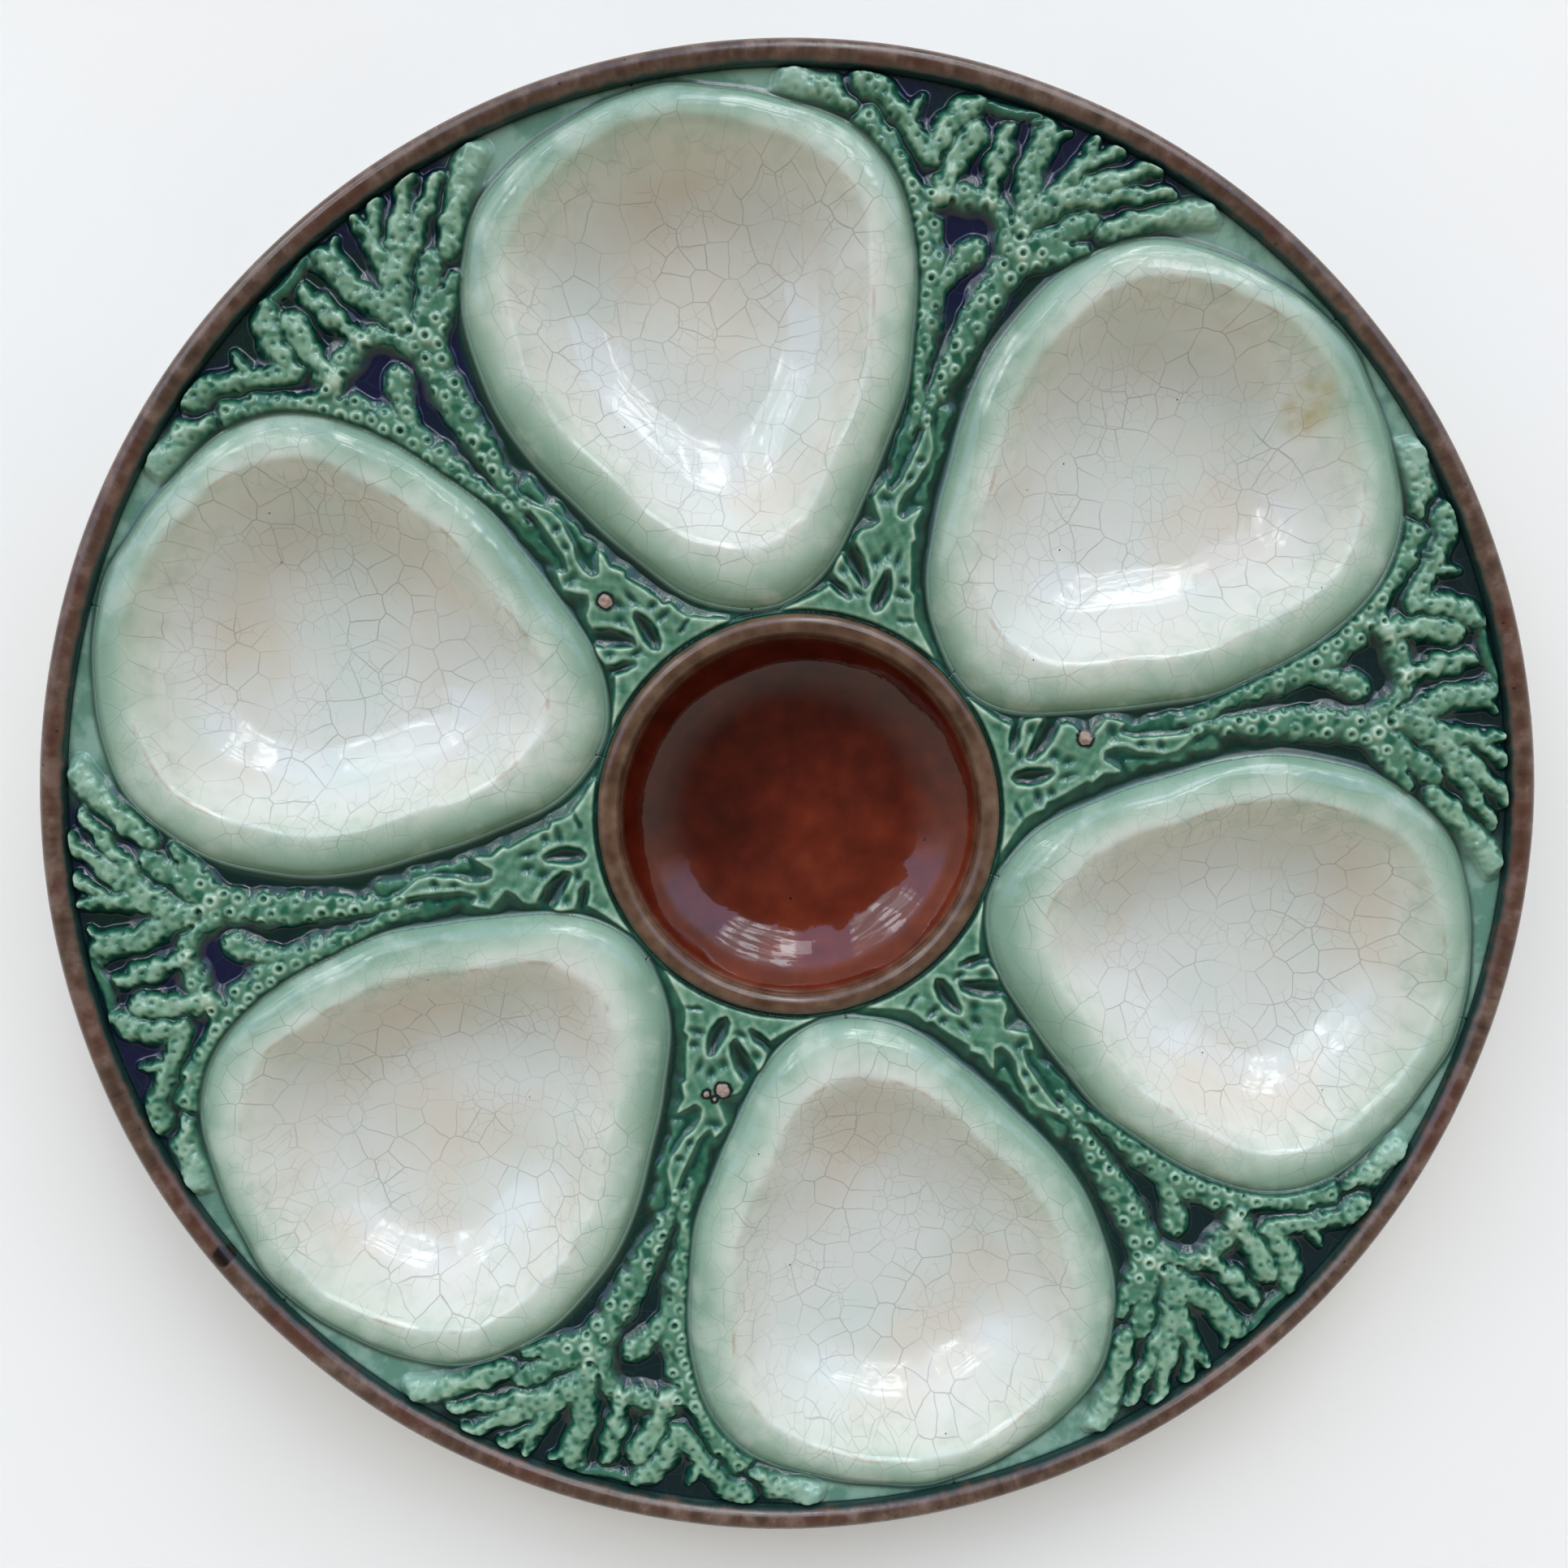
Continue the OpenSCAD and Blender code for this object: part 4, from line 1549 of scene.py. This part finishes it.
def read_points(mesh: bpy.types.Mesh) -> Array:
    """Points of a mesh.

    Args:
        mesh: The mesh.

    Returns:
        One row of millimetres for each point.
    """
    values = np.empty(len(mesh.vertices) * 3)
    mesh.vertices.foreach_get("co", values)
    return values.reshape(-1, 3) / MM


def write_points(mesh: bpy.types.Mesh, points: Array) -> None:
    """Move a mesh's points, given in millimetres."""
    mesh.vertices.foreach_set("co", (points * MM).ravel())
    mesh.update()


def write_value(mesh: bpy.types.Mesh, name: str, values: Array) -> None:
    """Store one value for each point of a mesh."""
    layer = mesh.attributes.new(name, "FLOAT", "POINT")
    layer.data.foreach_set("value", np.ascontiguousarray(values, dtype=np.float32))


@dataclass
class OysterWells:
    """Six cream wells with broad rounded lips."""

    form: PlateForm
    material: bpy.types.Material
    around: int = 300
    rings: int = 84
    under_rings: int = 6
    # Glaze between a well's underside and the dish
    bed: float = 0.05
    # Slow waves of the upper face: height and wavelength
    swell: float = 0.16
    swell_wave: float = 26.0
    # Share of an even outline on which the lip's inner edge is stained
    hem_share: float = 0.845
    # Yellow stain: its place on the plate and its half sizes
    stain_place: tuple[float, float] = (82.0, 66.0)
    stain_half: tuple[float, float] = (4.0, 6.0)
    seed: int = 40

    def unit_mesh(self) -> bpy.types.Mesh:
        """Build one well beside its own radius, with the rim up.

        Returns:
            The mesh, whose points still lie on the unit shape: the radius is the share of
            the outline, and a height of 1 marks the underside.
        """
        upper = [(share, 0.0) for share in np.linspace(0.0, 1.0, self.rings + 1)]
        lower = [(share, -1.0) for share in np.linspace(1.0, 0.0, self.under_rings + 1)]
        bm = spun([(r / MM, z / MM) for r, z in upper + lower], self.around)
        return kept_mesh("well_form", bm)

    def build(self) -> None:
        """Shape the six wells and dress them."""
        form = self.form
        base = self.unit_mesh()
        unit = read_points(base) * MM
        share = np.hypot(unit[:, 0], unit[:, 1])
        turn = np.arctan2(unit[:, 1], unit[:, 0])
        under = unit[:, 2] < -0.5
        across, out = form.well_point(turn, share)
        upper_z = form.well_height(turn, share)
        lower_z = form.dish(np.hypot(across, out)) + self.bed
        edge = (1 - share) * np.hypot(form.half_w * np.cos(turn), form.half_l * np.sin(turn)) * form.lobe(turn)
        hem = (self.hem_share - form.even_share(share, turn)) * form.half_w
        for i in range(WELL_COUNT):
            mesh = base.copy()
            angle = math.radians(FIRST_WELL_DEG + i * STEP_DEG)
            x = across * math.sin(angle) + out * math.cos(angle)
            y = -across * math.cos(angle) + out * math.sin(angle)
            x, y = form.hand_moved(x, y)
            swell = self.swell * soft_noise(x, y, self.swell_wave, self.seed + i) * smooth_step(1.0, 0.9, share)
            z = np.where(under, lower_z, upper_z + swell)
            write_points(mesh, np.stack([x, y, z], axis=1))
            write_value(mesh, "edge_mm", np.where(under, 0.0, edge))
            write_value(mesh, "hem_mm", np.where(under, FAR_MM, hem))
            stain_x, stain_y = self.stain_place
            stained = np.hypot((x - stain_x) / self.stain_half[0], (y - stain_y) / self.stain_half[1])
            write_value(mesh, "stain_share", smooth_step(1.0, 0.3, stained))
            name = f"oyster_well_{i + 1}"
            place_mesh(f"{name}_glazed", mesh, self.material, Slot.WELL, [name])
        bpy.data.meshes.remove(base)


@dataclass
class CoralSprigs:
    """Six fields of coral relief on the green ground between the wells."""

    form: PlateForm
    material: bpy.types.Material
    shell: float = 0.9
    grid_steps: tuple[float, float] = (0.2, 0.5)
    # Share of a grid step by which the field may pass its edges before they are trued
    slack: float = 0.3
    # Turns from the sprig's axis in degrees, and shares of the radius, between which the open ground starts
    open_angles: tuple[float, float] = (13.5, 19.0)
    open_radii: tuple[float, float] = (0.80, 0.88)
    # The same for the dark glaze between the branches, and its distances from a lip
    deep_angles: tuple[float, float] = (18.0, 13.0)
    deep_radii: tuple[float, float] = (0.63, 0.72)
    deep_clear: tuple[float, float] = (0.8, 2.6)
    # Rough clay left in a stilt's mark: height and wavelength
    crust: float = 0.3
    crust_wave: float = 0.9
    seed: int = 60
    coral: CoralField = field(init=False)

    def __post_init__(self) -> None:
        """Work out the relief."""
        self.coral = CoralField(self.form, step=self.grid_steps[0])

    def nearest_edge(self, across: Array, out: Array) -> tuple[Array, Array]:
        """Move places to the nearest edge of a sprig's field.

        Args:
            across: Places sideways in millimetres.
            out: Places outward in millimetres.

        Returns:
            The moved places.
        """
        form = self.form
        r = np.hypot(across, out)
        angle = np.arctan2(across, out)
        half = math.radians(STEP_DEG / 2)
        choices = [
            (np.abs(r - form.rim_in_r), across * form.rim_in_r / r, out * form.rim_in_r / r),
            (np.abs(r - form.sauce_r), across * form.sauce_r / r, out * form.sauce_r / r),
        ]
        for side in (-1, 1):
            gap = np.abs(angle - side * half) * r
            choices.append((gap, r * math.sin(side * half), r * math.cos(half)))
            turn = side * half
            well_x = across * math.cos(turn) - out * math.sin(turn)
            well_y = across * math.sin(turn) + out * math.cos(turn)
            share, direction = form.well_share(well_x, well_y)
            edge_x, edge_y = form.well_point(direction, np.ones_like(share))
            gap = np.hypot(well_x - edge_x, well_y - edge_y)
            back_x = edge_x * math.cos(turn) + edge_y * math.sin(turn)
            back_y = -edge_x * math.sin(turn) + edge_y * math.cos(turn)
            choices.append((gap, back_x, back_y))
        best = np.argmin(np.stack([choice[0] for choice in choices]), axis=0)
        xs = np.stack([choice[1] for choice in choices])
        ys = np.stack([choice[2] for choice in choices])
        pick = np.arange(len(best))
        return xs[best, pick], ys[best, pick]

    def field_mesh(self) -> bpy.types.Mesh:
        """Build one sprig's field beside its own radius, with the rim up.

        Returns:
            The closed mesh, in millimetres, on which a height of -1 marks the underside.
        """
        coral = self.coral
        form = self.form
        bm = bmesh.new()
        bmesh.ops.create_grid(bm, x_segments=coral.columns - 1, y_segments=coral.rows - 1, size=1.0)
        places = np.array([vert.co[:2] for vert in bm.verts])
        half = np.array([(coral.columns - 1) * coral.step / 2, (coral.rows - 1) * coral.step / 2])
        middle = np.array(coral.low) + half
        across, out = (places * half + middle).T
        r = np.hypot(across, out)
        slack = self.slack * coral.step
        inside = (
            (coral.sample(coral.lip_mm, across, out) > -slack)
            & (r > form.sauce_r - slack)
            & (r < form.rim_in_r + slack)
            & (np.abs(np.arctan2(across, out)) * r < math.radians(STEP_DEG / 2) * r + slack)
        )
        verts = list(bm.verts)
        for vert, x, y in zip(verts, across, out):
            vert.co = (x, y, 0.0)
        bmesh.ops.delete(bm, geom=[vert for vert, keep in zip(verts, inside) if not keep], context="VERTS")
        # Squares that hang on by one side, and points that they leave, go in a few rounds
        for _ in range(3):
            lone = [face for face in bm.faces if sum(edge.is_boundary for edge in face.edges) >= 3]
            bmesh.ops.delete(bm, geom=lone, context="FACES")
            bmesh.ops.delete(bm, geom=[vert for vert in bm.verts if not vert.link_faces], context="VERTS")
        border = [vert for vert in bm.verts if vert.is_boundary]
        xs, ys = self.nearest_edge(np.array([v.co.x for v in border]), np.array([v.co.y for v in border]))
        for vert, x, y in zip(border, xs, ys):
            vert.co = (x, y, 0.0)
        edges = [edge for edge in bm.edges if edge.is_boundary]
        skirt = bmesh.ops.extrude_edge_only(bm, edges=edges)["geom"]
        low = [item for item in skirt if isinstance(item, bmesh.types.BMVert)]
        for vert in low:
            vert.co.z = -1.0
        rings = [item for item in skirt if isinstance(item, bmesh.types.BMEdge)]
        bmesh.ops.triangle_fill(bm, edges=[edge for edge in rings if edge.is_boundary], use_beauty=True)
        bmesh.ops.recalc_face_normals(bm, faces=bm.faces)
        return kept_mesh("coral_form", bm)

    def build(self) -> None:
        """Shape the six sprigs and dress them."""
        form = self.form
        coral = self.coral
        base = self.field_mesh()
        values = np.empty(len(base.vertices) * 3)
        base.vertices.foreach_get("co", values)
        flat = values.reshape(-1, 3)
        across, out = flat[:, 0], flat[:, 1]
        under = flat[:, 2] < -0.5
        r = np.hypot(across, out)
        height = coral.sample(coral.height, across, out)
        z = form.ground(r) + np.where(under, -self.shell, height)
        relief = coral.sample(coral.relief, across, out)
        lip = coral.sample(coral.lip_mm, across, out)
        angle = np.degrees(np.abs(np.arctan2(across, out)))
        starts, ends = self.open_radii
        open_share = smooth_step(*self.open_angles, angle) * smooth_step(starts * form.radius, ends * form.radius, r)
        starts, ends = self.deep_radii
        deep_share = smooth_step(starts * form.radius, ends * form.radius, r) * smooth_step(*self.deep_angles, angle)
        deep_share *= smooth_step(*self.deep_clear, lip)
        for i in range(WELL_COUNT):
            mesh = base.copy()
            turn = math.radians(FIRST_WELL_DEG + (i - 0.5) * STEP_DEG)
            x = across * math.sin(turn) + out * math.cos(turn)
            y = -across * math.cos(turn) + out * math.sin(turn)
            x, y = form.hand_moved(x, y)
            scar = np.full_like(r, FAR_MM)
            for mark in STILT_MARKS:
                if mark.sprig == i + 1:
                    mark_x = mark.across * form.radius / DRAWN_UNITS
                    mark_y = mark.out * form.radius / DRAWN_UNITS
                    scar = np.minimum(scar, np.hypot(across - mark_x, out - mark_y) - mark.radius_mm)
            grain = 1 + 0.5 * soft_noise(x, y, self.crust_wave, self.seed + i)
            crust = self.crust * smooth_step(0.1, -0.5, scar) * grain
            write_points(mesh, np.stack([x, y, z + np.where(under, 0.0, crust)], axis=1))
            for title, carried in (
                ("relief_mm", np.where(under, 0.0, relief)),
                ("tone", coral.sample(coral.tone, across, out)),
                ("lip_mm", lip),
                ("open_share", open_share),
                ("deep_share", deep_share),
                ("scar_mm", scar),
                ("rim_mm", form.rim_in_r - r),
            ):
                write_value(mesh, title, carried)
            name = f"coral_sprig_{i + 1}"
            place_mesh(f"{name}_glazed", mesh, self.material, Slot.CORAL, [name])
        bpy.data.meshes.remove(base)


@dataclass
class RimBand:
    """Raised brown band round the edge."""

    form: PlateForm
    material: bpy.types.Material
    steps: int = 900
    # Rounded underside and crest: first and last direction in degrees, and steps
    under_arc: tuple[float, float, int] = (-86, 0, 9)
    crest_arc: tuple[float, float, int] = (6, 162, 16)
    # How far the outline wavers inwards: depth, and how many waves with their phases
    wobble: float = 0.28
    waves: tuple[tuple[int, float], ...] = ((2, 0.4), (3, 1.9), (5, 0.9), (9, 2.6), (14, 0.2), (23, 1.1))
    # How far the crest sinks, and its waves
    sink: float = 0.12
    sink_waves: tuple[tuple[int, float], ...] = ((7, 0.7), (12, 2.0))
    # Spot that the glaze left bare: its place on the plate and its radius
    bare_place: tuple[float, float] = (-93.5, -70.5)
    bare_r: float = 0.9

    def build(self) -> None:
        """Turn the band, give it the unevenness of a hand-wiped edge, and dress it."""
        form = self.form
        crest_r = form.rim_w / 2
        under_r = min(form.rim_w, form.crest_z - form.edge_z - crest_r)
        profile = [(form.rim_in_r, form.edge_z + 0.1)]
        profile += arc_points(form.radius - under_r, form.edge_z + under_r, under_r, *self.under_arc)
        profile += arc_points(form.radius - crest_r, form.crest_z - crest_r, crest_r, *self.crest_arc)
        profile += [(form.rim_in_r + 0.02, form.ground_out_z + 0.05), (form.rim_in_r, form.ground_out_z - 0.8)]
        mesh = kept_mesh("rim_form", spun(profile, self.steps))
        points = read_points(mesh)
        r = np.hypot(points[:, 0], points[:, 1])
        turn = np.arctan2(points[:, 1], points[:, 0])
        outward = (r - form.rim_in_r) / form.rim_w
        waver = np.zeros_like(turn)
        for count, phase in self.waves:
            waver += np.sin(count * turn + phase) / count**0.6
        waver = (waver - waver.max()) / (waver.max() - waver.min())
        r = r + self.wobble * waver * outward
        lift = self.sink * (sum(np.sin(count * turn + phase) for count, phase in self.sink_waves) - 2.0) / 2
        top = smooth_step(form.edge_z + 3.0, form.crest_z, points[:, 2])
        points[:, 0] = r * np.cos(turn)
        points[:, 1] = r * np.sin(turn)
        points[:, 2] += lift * top
        write_points(mesh, points)
        upper = smooth_step(form.crest_z - 1.2, form.crest_z - 0.1, points[:, 2])
        write_value(mesh, "inner_mm", np.where(points[:, 2] > form.ground_out_z - 1, r - form.rim_in_r, 4.0))
        write_value(mesh, "crest_share", upper)
        bare_x, bare_y = self.bare_place
        write_value(mesh, "bare_mm", np.hypot(points[:, 0] - bare_x, points[:, 1] - bare_y) - self.bare_r)
        place_mesh("rim_band_glazed", mesh, self.material, Slot.RIM, ["rim_band"])


@dataclass
class SauceWell:
    """Round red-brown well in the middle."""

    form: PlateForm
    material: bpy.types.Material
    steps: int = 360
    wall_steps: int = 21
    floor_steps: int = 24
    # Rounded lip: first and last direction in degrees, and steps
    lip_arc: tuple[float, float, int] = (8, 172, 16)
    # Glaze between the well's underside and the dish
    bed: float = 0.05
    # Soft fillet that a potter's finger leaves between floor and wall: height, and reach from the lip
    fillet: float = 2.4
    fillet_w: float = 12.5
    # Rise of the floor's middle
    crown: float = 0.5
    # Slow waves of the inside: height, wavelength and seed
    swell: float = 0.08
    swell_wave: float = 15.0
    seed: int = 77

    def build(self) -> None:
        """Turn the well and dress it."""
        form = self.form
        lip_r = form.sauce_lip_w / 2
        lip_z = form.sauce_crest_z - lip_r
        ground = float(form.ground(np.array(form.sauce_r)))
        inner_r = form.sauce_r - form.sauce_lip_w
        floor_r = inner_r - form.sauce_wall_w
        bed_z = form.dish_top_z + self.bed
        profile = [(0.0, bed_z), (form.sauce_r, bed_z)]
        profile += [(form.sauce_r, ground - 1.0), (form.sauce_r, ground + 0.05)]
        profile += arc_points(form.sauce_r - lip_r, lip_z, lip_r, *self.lip_arc)
        for i in range(1, self.wall_steps + 1):
            turn = math.radians(90 * i / self.wall_steps)
            wall_r = floor_r + form.sauce_wall_w * math.cos(turn) ** 0.9
            profile.append((wall_r, lip_z + (form.floor_z - lip_z) * math.sin(turn)))
        for i in range(1, self.floor_steps):
            share = i / self.floor_steps
            crown = self.crown * math.sin(math.pi / 2 * share) ** 2
            profile.append((floor_r * (1 - share), form.floor_z + crown))
        profile.append((0.0, form.floor_z + self.crown))
        foot_r = inner_r - self.fillet_w
        lifted = []
        for r, z in profile:
            share = max(0.0, (r - foot_r) / (floor_r - foot_r))
            rise = self.fillet * (share**2 if share < 1 else 2 * share - 1)
            inside = r < inner_r and z > form.floor_z - 0.5
            lifted.append((r, z + rise * (lip_z - z) / (lip_z - form.floor_z) if inside else z))
        mesh = kept_mesh("sauce_form", spun(lifted, self.steps))
        points = read_points(mesh)
        r = np.hypot(points[:, 0], points[:, 1])
        inner = smooth_step(inner_r + 0.6, inner_r - 1.0, r) * (points[:, 2] > form.floor_z - 0.5)
        points[:, 2] += self.swell * soft_noise(points[:, 0], points[:, 1], self.swell_wave, self.seed) * inner
        write_points(mesh, points)
        write_value(mesh, "lip_share", smooth_step(inner_r - 0.9, inner_r + 0.4, r))
        write_value(mesh, "outer_mm", np.where(points[:, 2] > ground - 1.5, form.sauce_r - r, 3.0))
        # Painted shade, strongest towards the top and left of the well, where the wall's shadow falls
        write_value(mesh, "painted_shade_share", smooth_step(-24.0, 26.0, 0.85 * points[:, 1] - 0.5 * points[:, 0]))
        place_mesh("sauce_well_glazed", mesh, self.material, Slot.SAUCE, ["sauce_well"])


@dataclass
class PlateBack:
    """Dished body of the plate, of which the glazed back shows, and its foot ring."""

    form: PlateForm
    glaze: bpy.types.Material
    clay: bpy.types.Material
    steps: int = 360
    # Glaze between the dish and what lies in it
    bed: float = 0.05
    # Slow waves of the underside: height, wavelength and seed
    swell: float = 0.12
    swell_wave: float = 30.0
    seed: int = 91
    # Foot ring: radius of its rounded corners, and the height of its shoulder
    foot_round: float = 0.9
    foot_shoulder: float = 1.4

    def build_body(self) -> None:
        """Turn the dish and dress it."""
        form = self.form
        radii = np.concatenate([np.linspace(0, form.flat_r, 40), np.linspace(form.flat_r, form.rim_in_r, 22)[1:]])
        under = [(float(r), float(form.under(r))) for r in radii]
        upper = [(float(r), float(form.dish(r)) - self.bed) for r in radii[::-1]]
        mesh = kept_mesh("dish_form", spun(under + upper, self.steps))
        points = read_points(mesh)
        r = np.hypot(points[:, 0], points[:, 1])
        lower = points[:, 2] < form.dish(r) - 1.0
        clear = smooth_step(0, 4, np.abs(r - form.foot_r + form.foot_w / 2) - form.foot_w / 2)
        swell = self.swell * (soft_noise(points[:, 0], points[:, 1], self.swell_wave, self.seed) + 1.0)
        points[:, 2] += swell * clear * lower * smooth_step(form.rim_in_r, form.rim_in_r - 6, r)
        write_points(mesh, points)
        place_mesh("plate_body_glazed", mesh, self.glaze, Slot.BACK, ["plate_body"])

    def build_foot(self) -> None:
        """Turn the foot ring and dress it."""
        form = self.form
        outer, inner = form.foot_r, form.foot_r - form.foot_w
        round_r, shoulder = self.foot_round, self.foot_shoulder
        profile = [(inner, form.foot_h), (inner + form.foot_taper * 0.6, shoulder)]
        profile += arc_points(inner + form.foot_taper + round_r, round_r, round_r, 180, 270, 6)
        profile += arc_points(outer - form.foot_taper - round_r, round_r, round_r, 270, 360, 6)
        profile += [(outer - form.foot_taper * 0.6, shoulder), (outer, form.foot_h)]
        bm = spun(profile, self.steps)
        place_mesh("foot_ring_wiped", kept_mesh("foot_form", bm), self.clay, Slot.FOOT, ["foot_ring"])

    def build(self) -> None:
        """Build the back's two pieces."""
        self.build_body()
        self.build_foot()


@dataclass
class Studio:
    """Pale floor, soft lights and the camera of the photograph."""

    form: PlateForm
    # Camera: distance from the plate's ground, lean from upright, the direction it leans towards, and its aim
    distance: float = 250.0
    tilt_deg: float = 5.81
    near_deg: float = 119.04
    aim: tuple[float, float, float] = (-1.99, -3.29, 22.0)
    lens_angle_deg: float = 53.594
    shift: tuple[float, float] = (-0.0027, 0.035)
    # Surroundings from the horizon up to the zenith, where the photographer leans over the plate
    sky: tuple[tuple[float, str], ...] = ((0.0, "#f6efe0"), (0.45, "#f0eadc"), (0.80, "#beb9ae"), (1.0, "#716e67"))
    sky_ends: tuple[float, float] = (0.67, 0.68)
    lit_from: tuple[float, float, float] = (-0.42, 0.90, 0.0)
    # Sunlit panes: turn clockwise from the photograph's top, and half width, in degrees
    windows: tuple[tuple[float, float], ...] = ((20.0, 17.0), (-40.0, 16.0))
    window_heights: tuple[float, float] = (0.20, 0.93)
    window_glow: float = 6.6
    window_colour: str = "#e1e7ef"
    # Open sky behind them: height of its skyline and its strength
    skyline: float = 0.88
    open_glow: float = 1.45
    open_colour: str = "#bcd0f6"
    open_from: tuple[float, float, float] = (-0.12, 0.99, 0.0)
    # Soft light that fills the window's frame: place and size in metres, and power in watts
    frame_light: tuple[float, float, float] = (0.10, 1.15, 1.0)
    frame_size: tuple[float, float] = (0.30, 0.45)
    frame_power: float = 1.2
    floor_half: float = 3.0

    def build_floor(self) -> None:
        """Lay the floor."""
        bm = bmesh.new()
        bmesh.ops.create_grid(bm, x_segments=8, y_segments=8, size=self.floor_half)
        mesh = kept_mesh("studio_floor", bm)
        floor = bpy.data.objects.new("studio_floor", mesh)
        mesh.materials.append(StudioPaper().make())
        bpy.context.scene.collection.objects.link(floor)

    def build_light(self) -> None:
        """Hang the area light, which faces the plate."""
        data = bpy.data.lights.new("window_frame", "AREA")
        data.shape = "RECTANGLE"
        data.size, data.size_y = self.frame_size
        data.energy = self.frame_power
        light = bpy.data.objects.new("window_frame", data)
        light.location = self.frame_light
        light.rotation_euler = (-Vector(self.frame_light)).to_track_quat("-Z", "Y").to_euler()
        bpy.context.scene.collection.objects.link(light)

    def build_surroundings(self) -> None:
        """Set the soft surroundings: walls, open sky and sunlit panes."""
        shader = Shader("soft_surroundings", bpy.data.worlds)
        add = shader.add
        height = add(Kind.AXES, shader.place)
        sky = add(Kind.RAMP, height, stops=self.sky)
        lit = add(Kind.EASE, add(Kind.ALONG, shader.place, self.lit_from), -0.9, 0.9, *self.sky_ends)
        # Open sky below a ragged edge, and sunlit panes with leaves before them
        around = add(Kind.UNIT, add(Kind.SPREAD, shader.place, (1.0, 1.0, 0.0)))
        ragged = add(Kind.SUM, add(Kind.CLOUD, 5.0, 5.0, 0.6, around), 0.5, add(Kind.SUM, height, 1.0, -0.25))
        open_sky = add(Kind.EASE, ragged, self.skyline + 0.02, self.skyline - 0.02)
        open_sky = add(Kind.TIMES, open_sky, add(Kind.EASE, height, 0.14, 0.32))
        open_sky = add(Kind.TIMES, open_sky, add(Kind.EASE, add(Kind.ALONG, around, self.open_from), 0.10, 0.40))
        panes = []
        for turn, half in self.windows:
            toward = (math.sin(math.radians(turn)), math.cos(math.radians(turn)), 0.0)
            reach = (math.cos(math.radians(half + 3)), math.cos(math.radians(half - 3)))
            panes.append(add(Kind.EASE, add(Kind.ALONG, around, toward), *reach))
        low, high = self.window_heights
        tall = add(Kind.TIMES, add(Kind.EASE, height, low, low + 0.12), add(Kind.EASE, height, high, high - 0.06))
        stems = add(Kind.EASE, add(Kind.CLOUD, 11.0, 3.0, 0.2, around), 0.44, 0.52, 0.25, 1.0)
        flattened = add(Kind.SPREAD, shader.place, (1.0, 1.0, 3.0))
        leaves = add(Kind.EASE, add(Kind.CLOUD, 5.0, 4.0, 0.35, flattened), 0.47, 0.56, 0.0, 1.0)
        pane = add(Kind.TIMES, add(Kind.LARGER, *panes), tall)
        glow = add(Kind.TIMES, pane, add(Kind.TIMES, stems, leaves))
        sky = add(Kind.COVER, add(Kind.COVER, sky, open_sky, self.open_colour), pane, self.window_colour)
        strength = add(Kind.SUM, glow, self.window_glow, add(Kind.SUM, open_sky, self.open_glow, lit))
        add(Kind.SURROUND, add(Kind.GLOW, sky, strength))
        bpy.context.scene.world = shader.material

    def build_camera(self) -> None:
        """Set the camera at the photograph's viewing angle."""
        data = bpy.data.cameras.new("camera")
        camera = bpy.data.objects.new("camera", data)
        near = math.radians(self.near_deg)
        tilt = math.radians(self.tilt_deg)
        aim = Vector(self.aim) * MM
        toward = Vector((math.sin(tilt) * math.cos(near), math.sin(tilt) * math.sin(near), math.cos(tilt)))
        place = toward * self.distance * MM + Vector((0, 0, self.form.ground_out_z * MM))
        ahead = (aim - place).normalized()
        right = ahead.cross(Vector((0, 1, 0))).normalized()
        up = right.cross(ahead)
        turn = Matrix((right, up, -ahead)).transposed()
        camera.matrix_world = Matrix.Translation(place) @ turn.to_4x4()
        data.sensor_fit = "HORIZONTAL"
        data.angle = math.radians(self.lens_angle_deg)
        data.shift_x, data.shift_y = self.shift
        data.clip_start = 0.01
        bpy.context.scene.collection.objects.link(camera)
        bpy.context.scene.camera = camera

    def build(self) -> None:
        """Build the studio."""
        self.build_floor()
        self.build_light()
        self.build_surroundings()
        self.build_camera()
        bpy.context.scene.view_settings.view_transform = "Standard"


def main() -> None:
    """Build the plate's pieces and the studio in order."""
    logging.basicConfig(level=logging.INFO, format="%(name)s: %(message)s")
    form = PlateForm.from_frame()
    Studio(form).build()
    OysterWells(form, CreamGlaze().make()).build()
    CoralSprigs(form, GreenGlaze().make()).build()
    RimBand(form, RimGlaze().make()).build()
    SauceWell(form, SauceGlaze().make()).build()
    PlateBack(form, BackGlaze().make(), FootClay().make()).build()


if __name__ == "__main__":
    main()
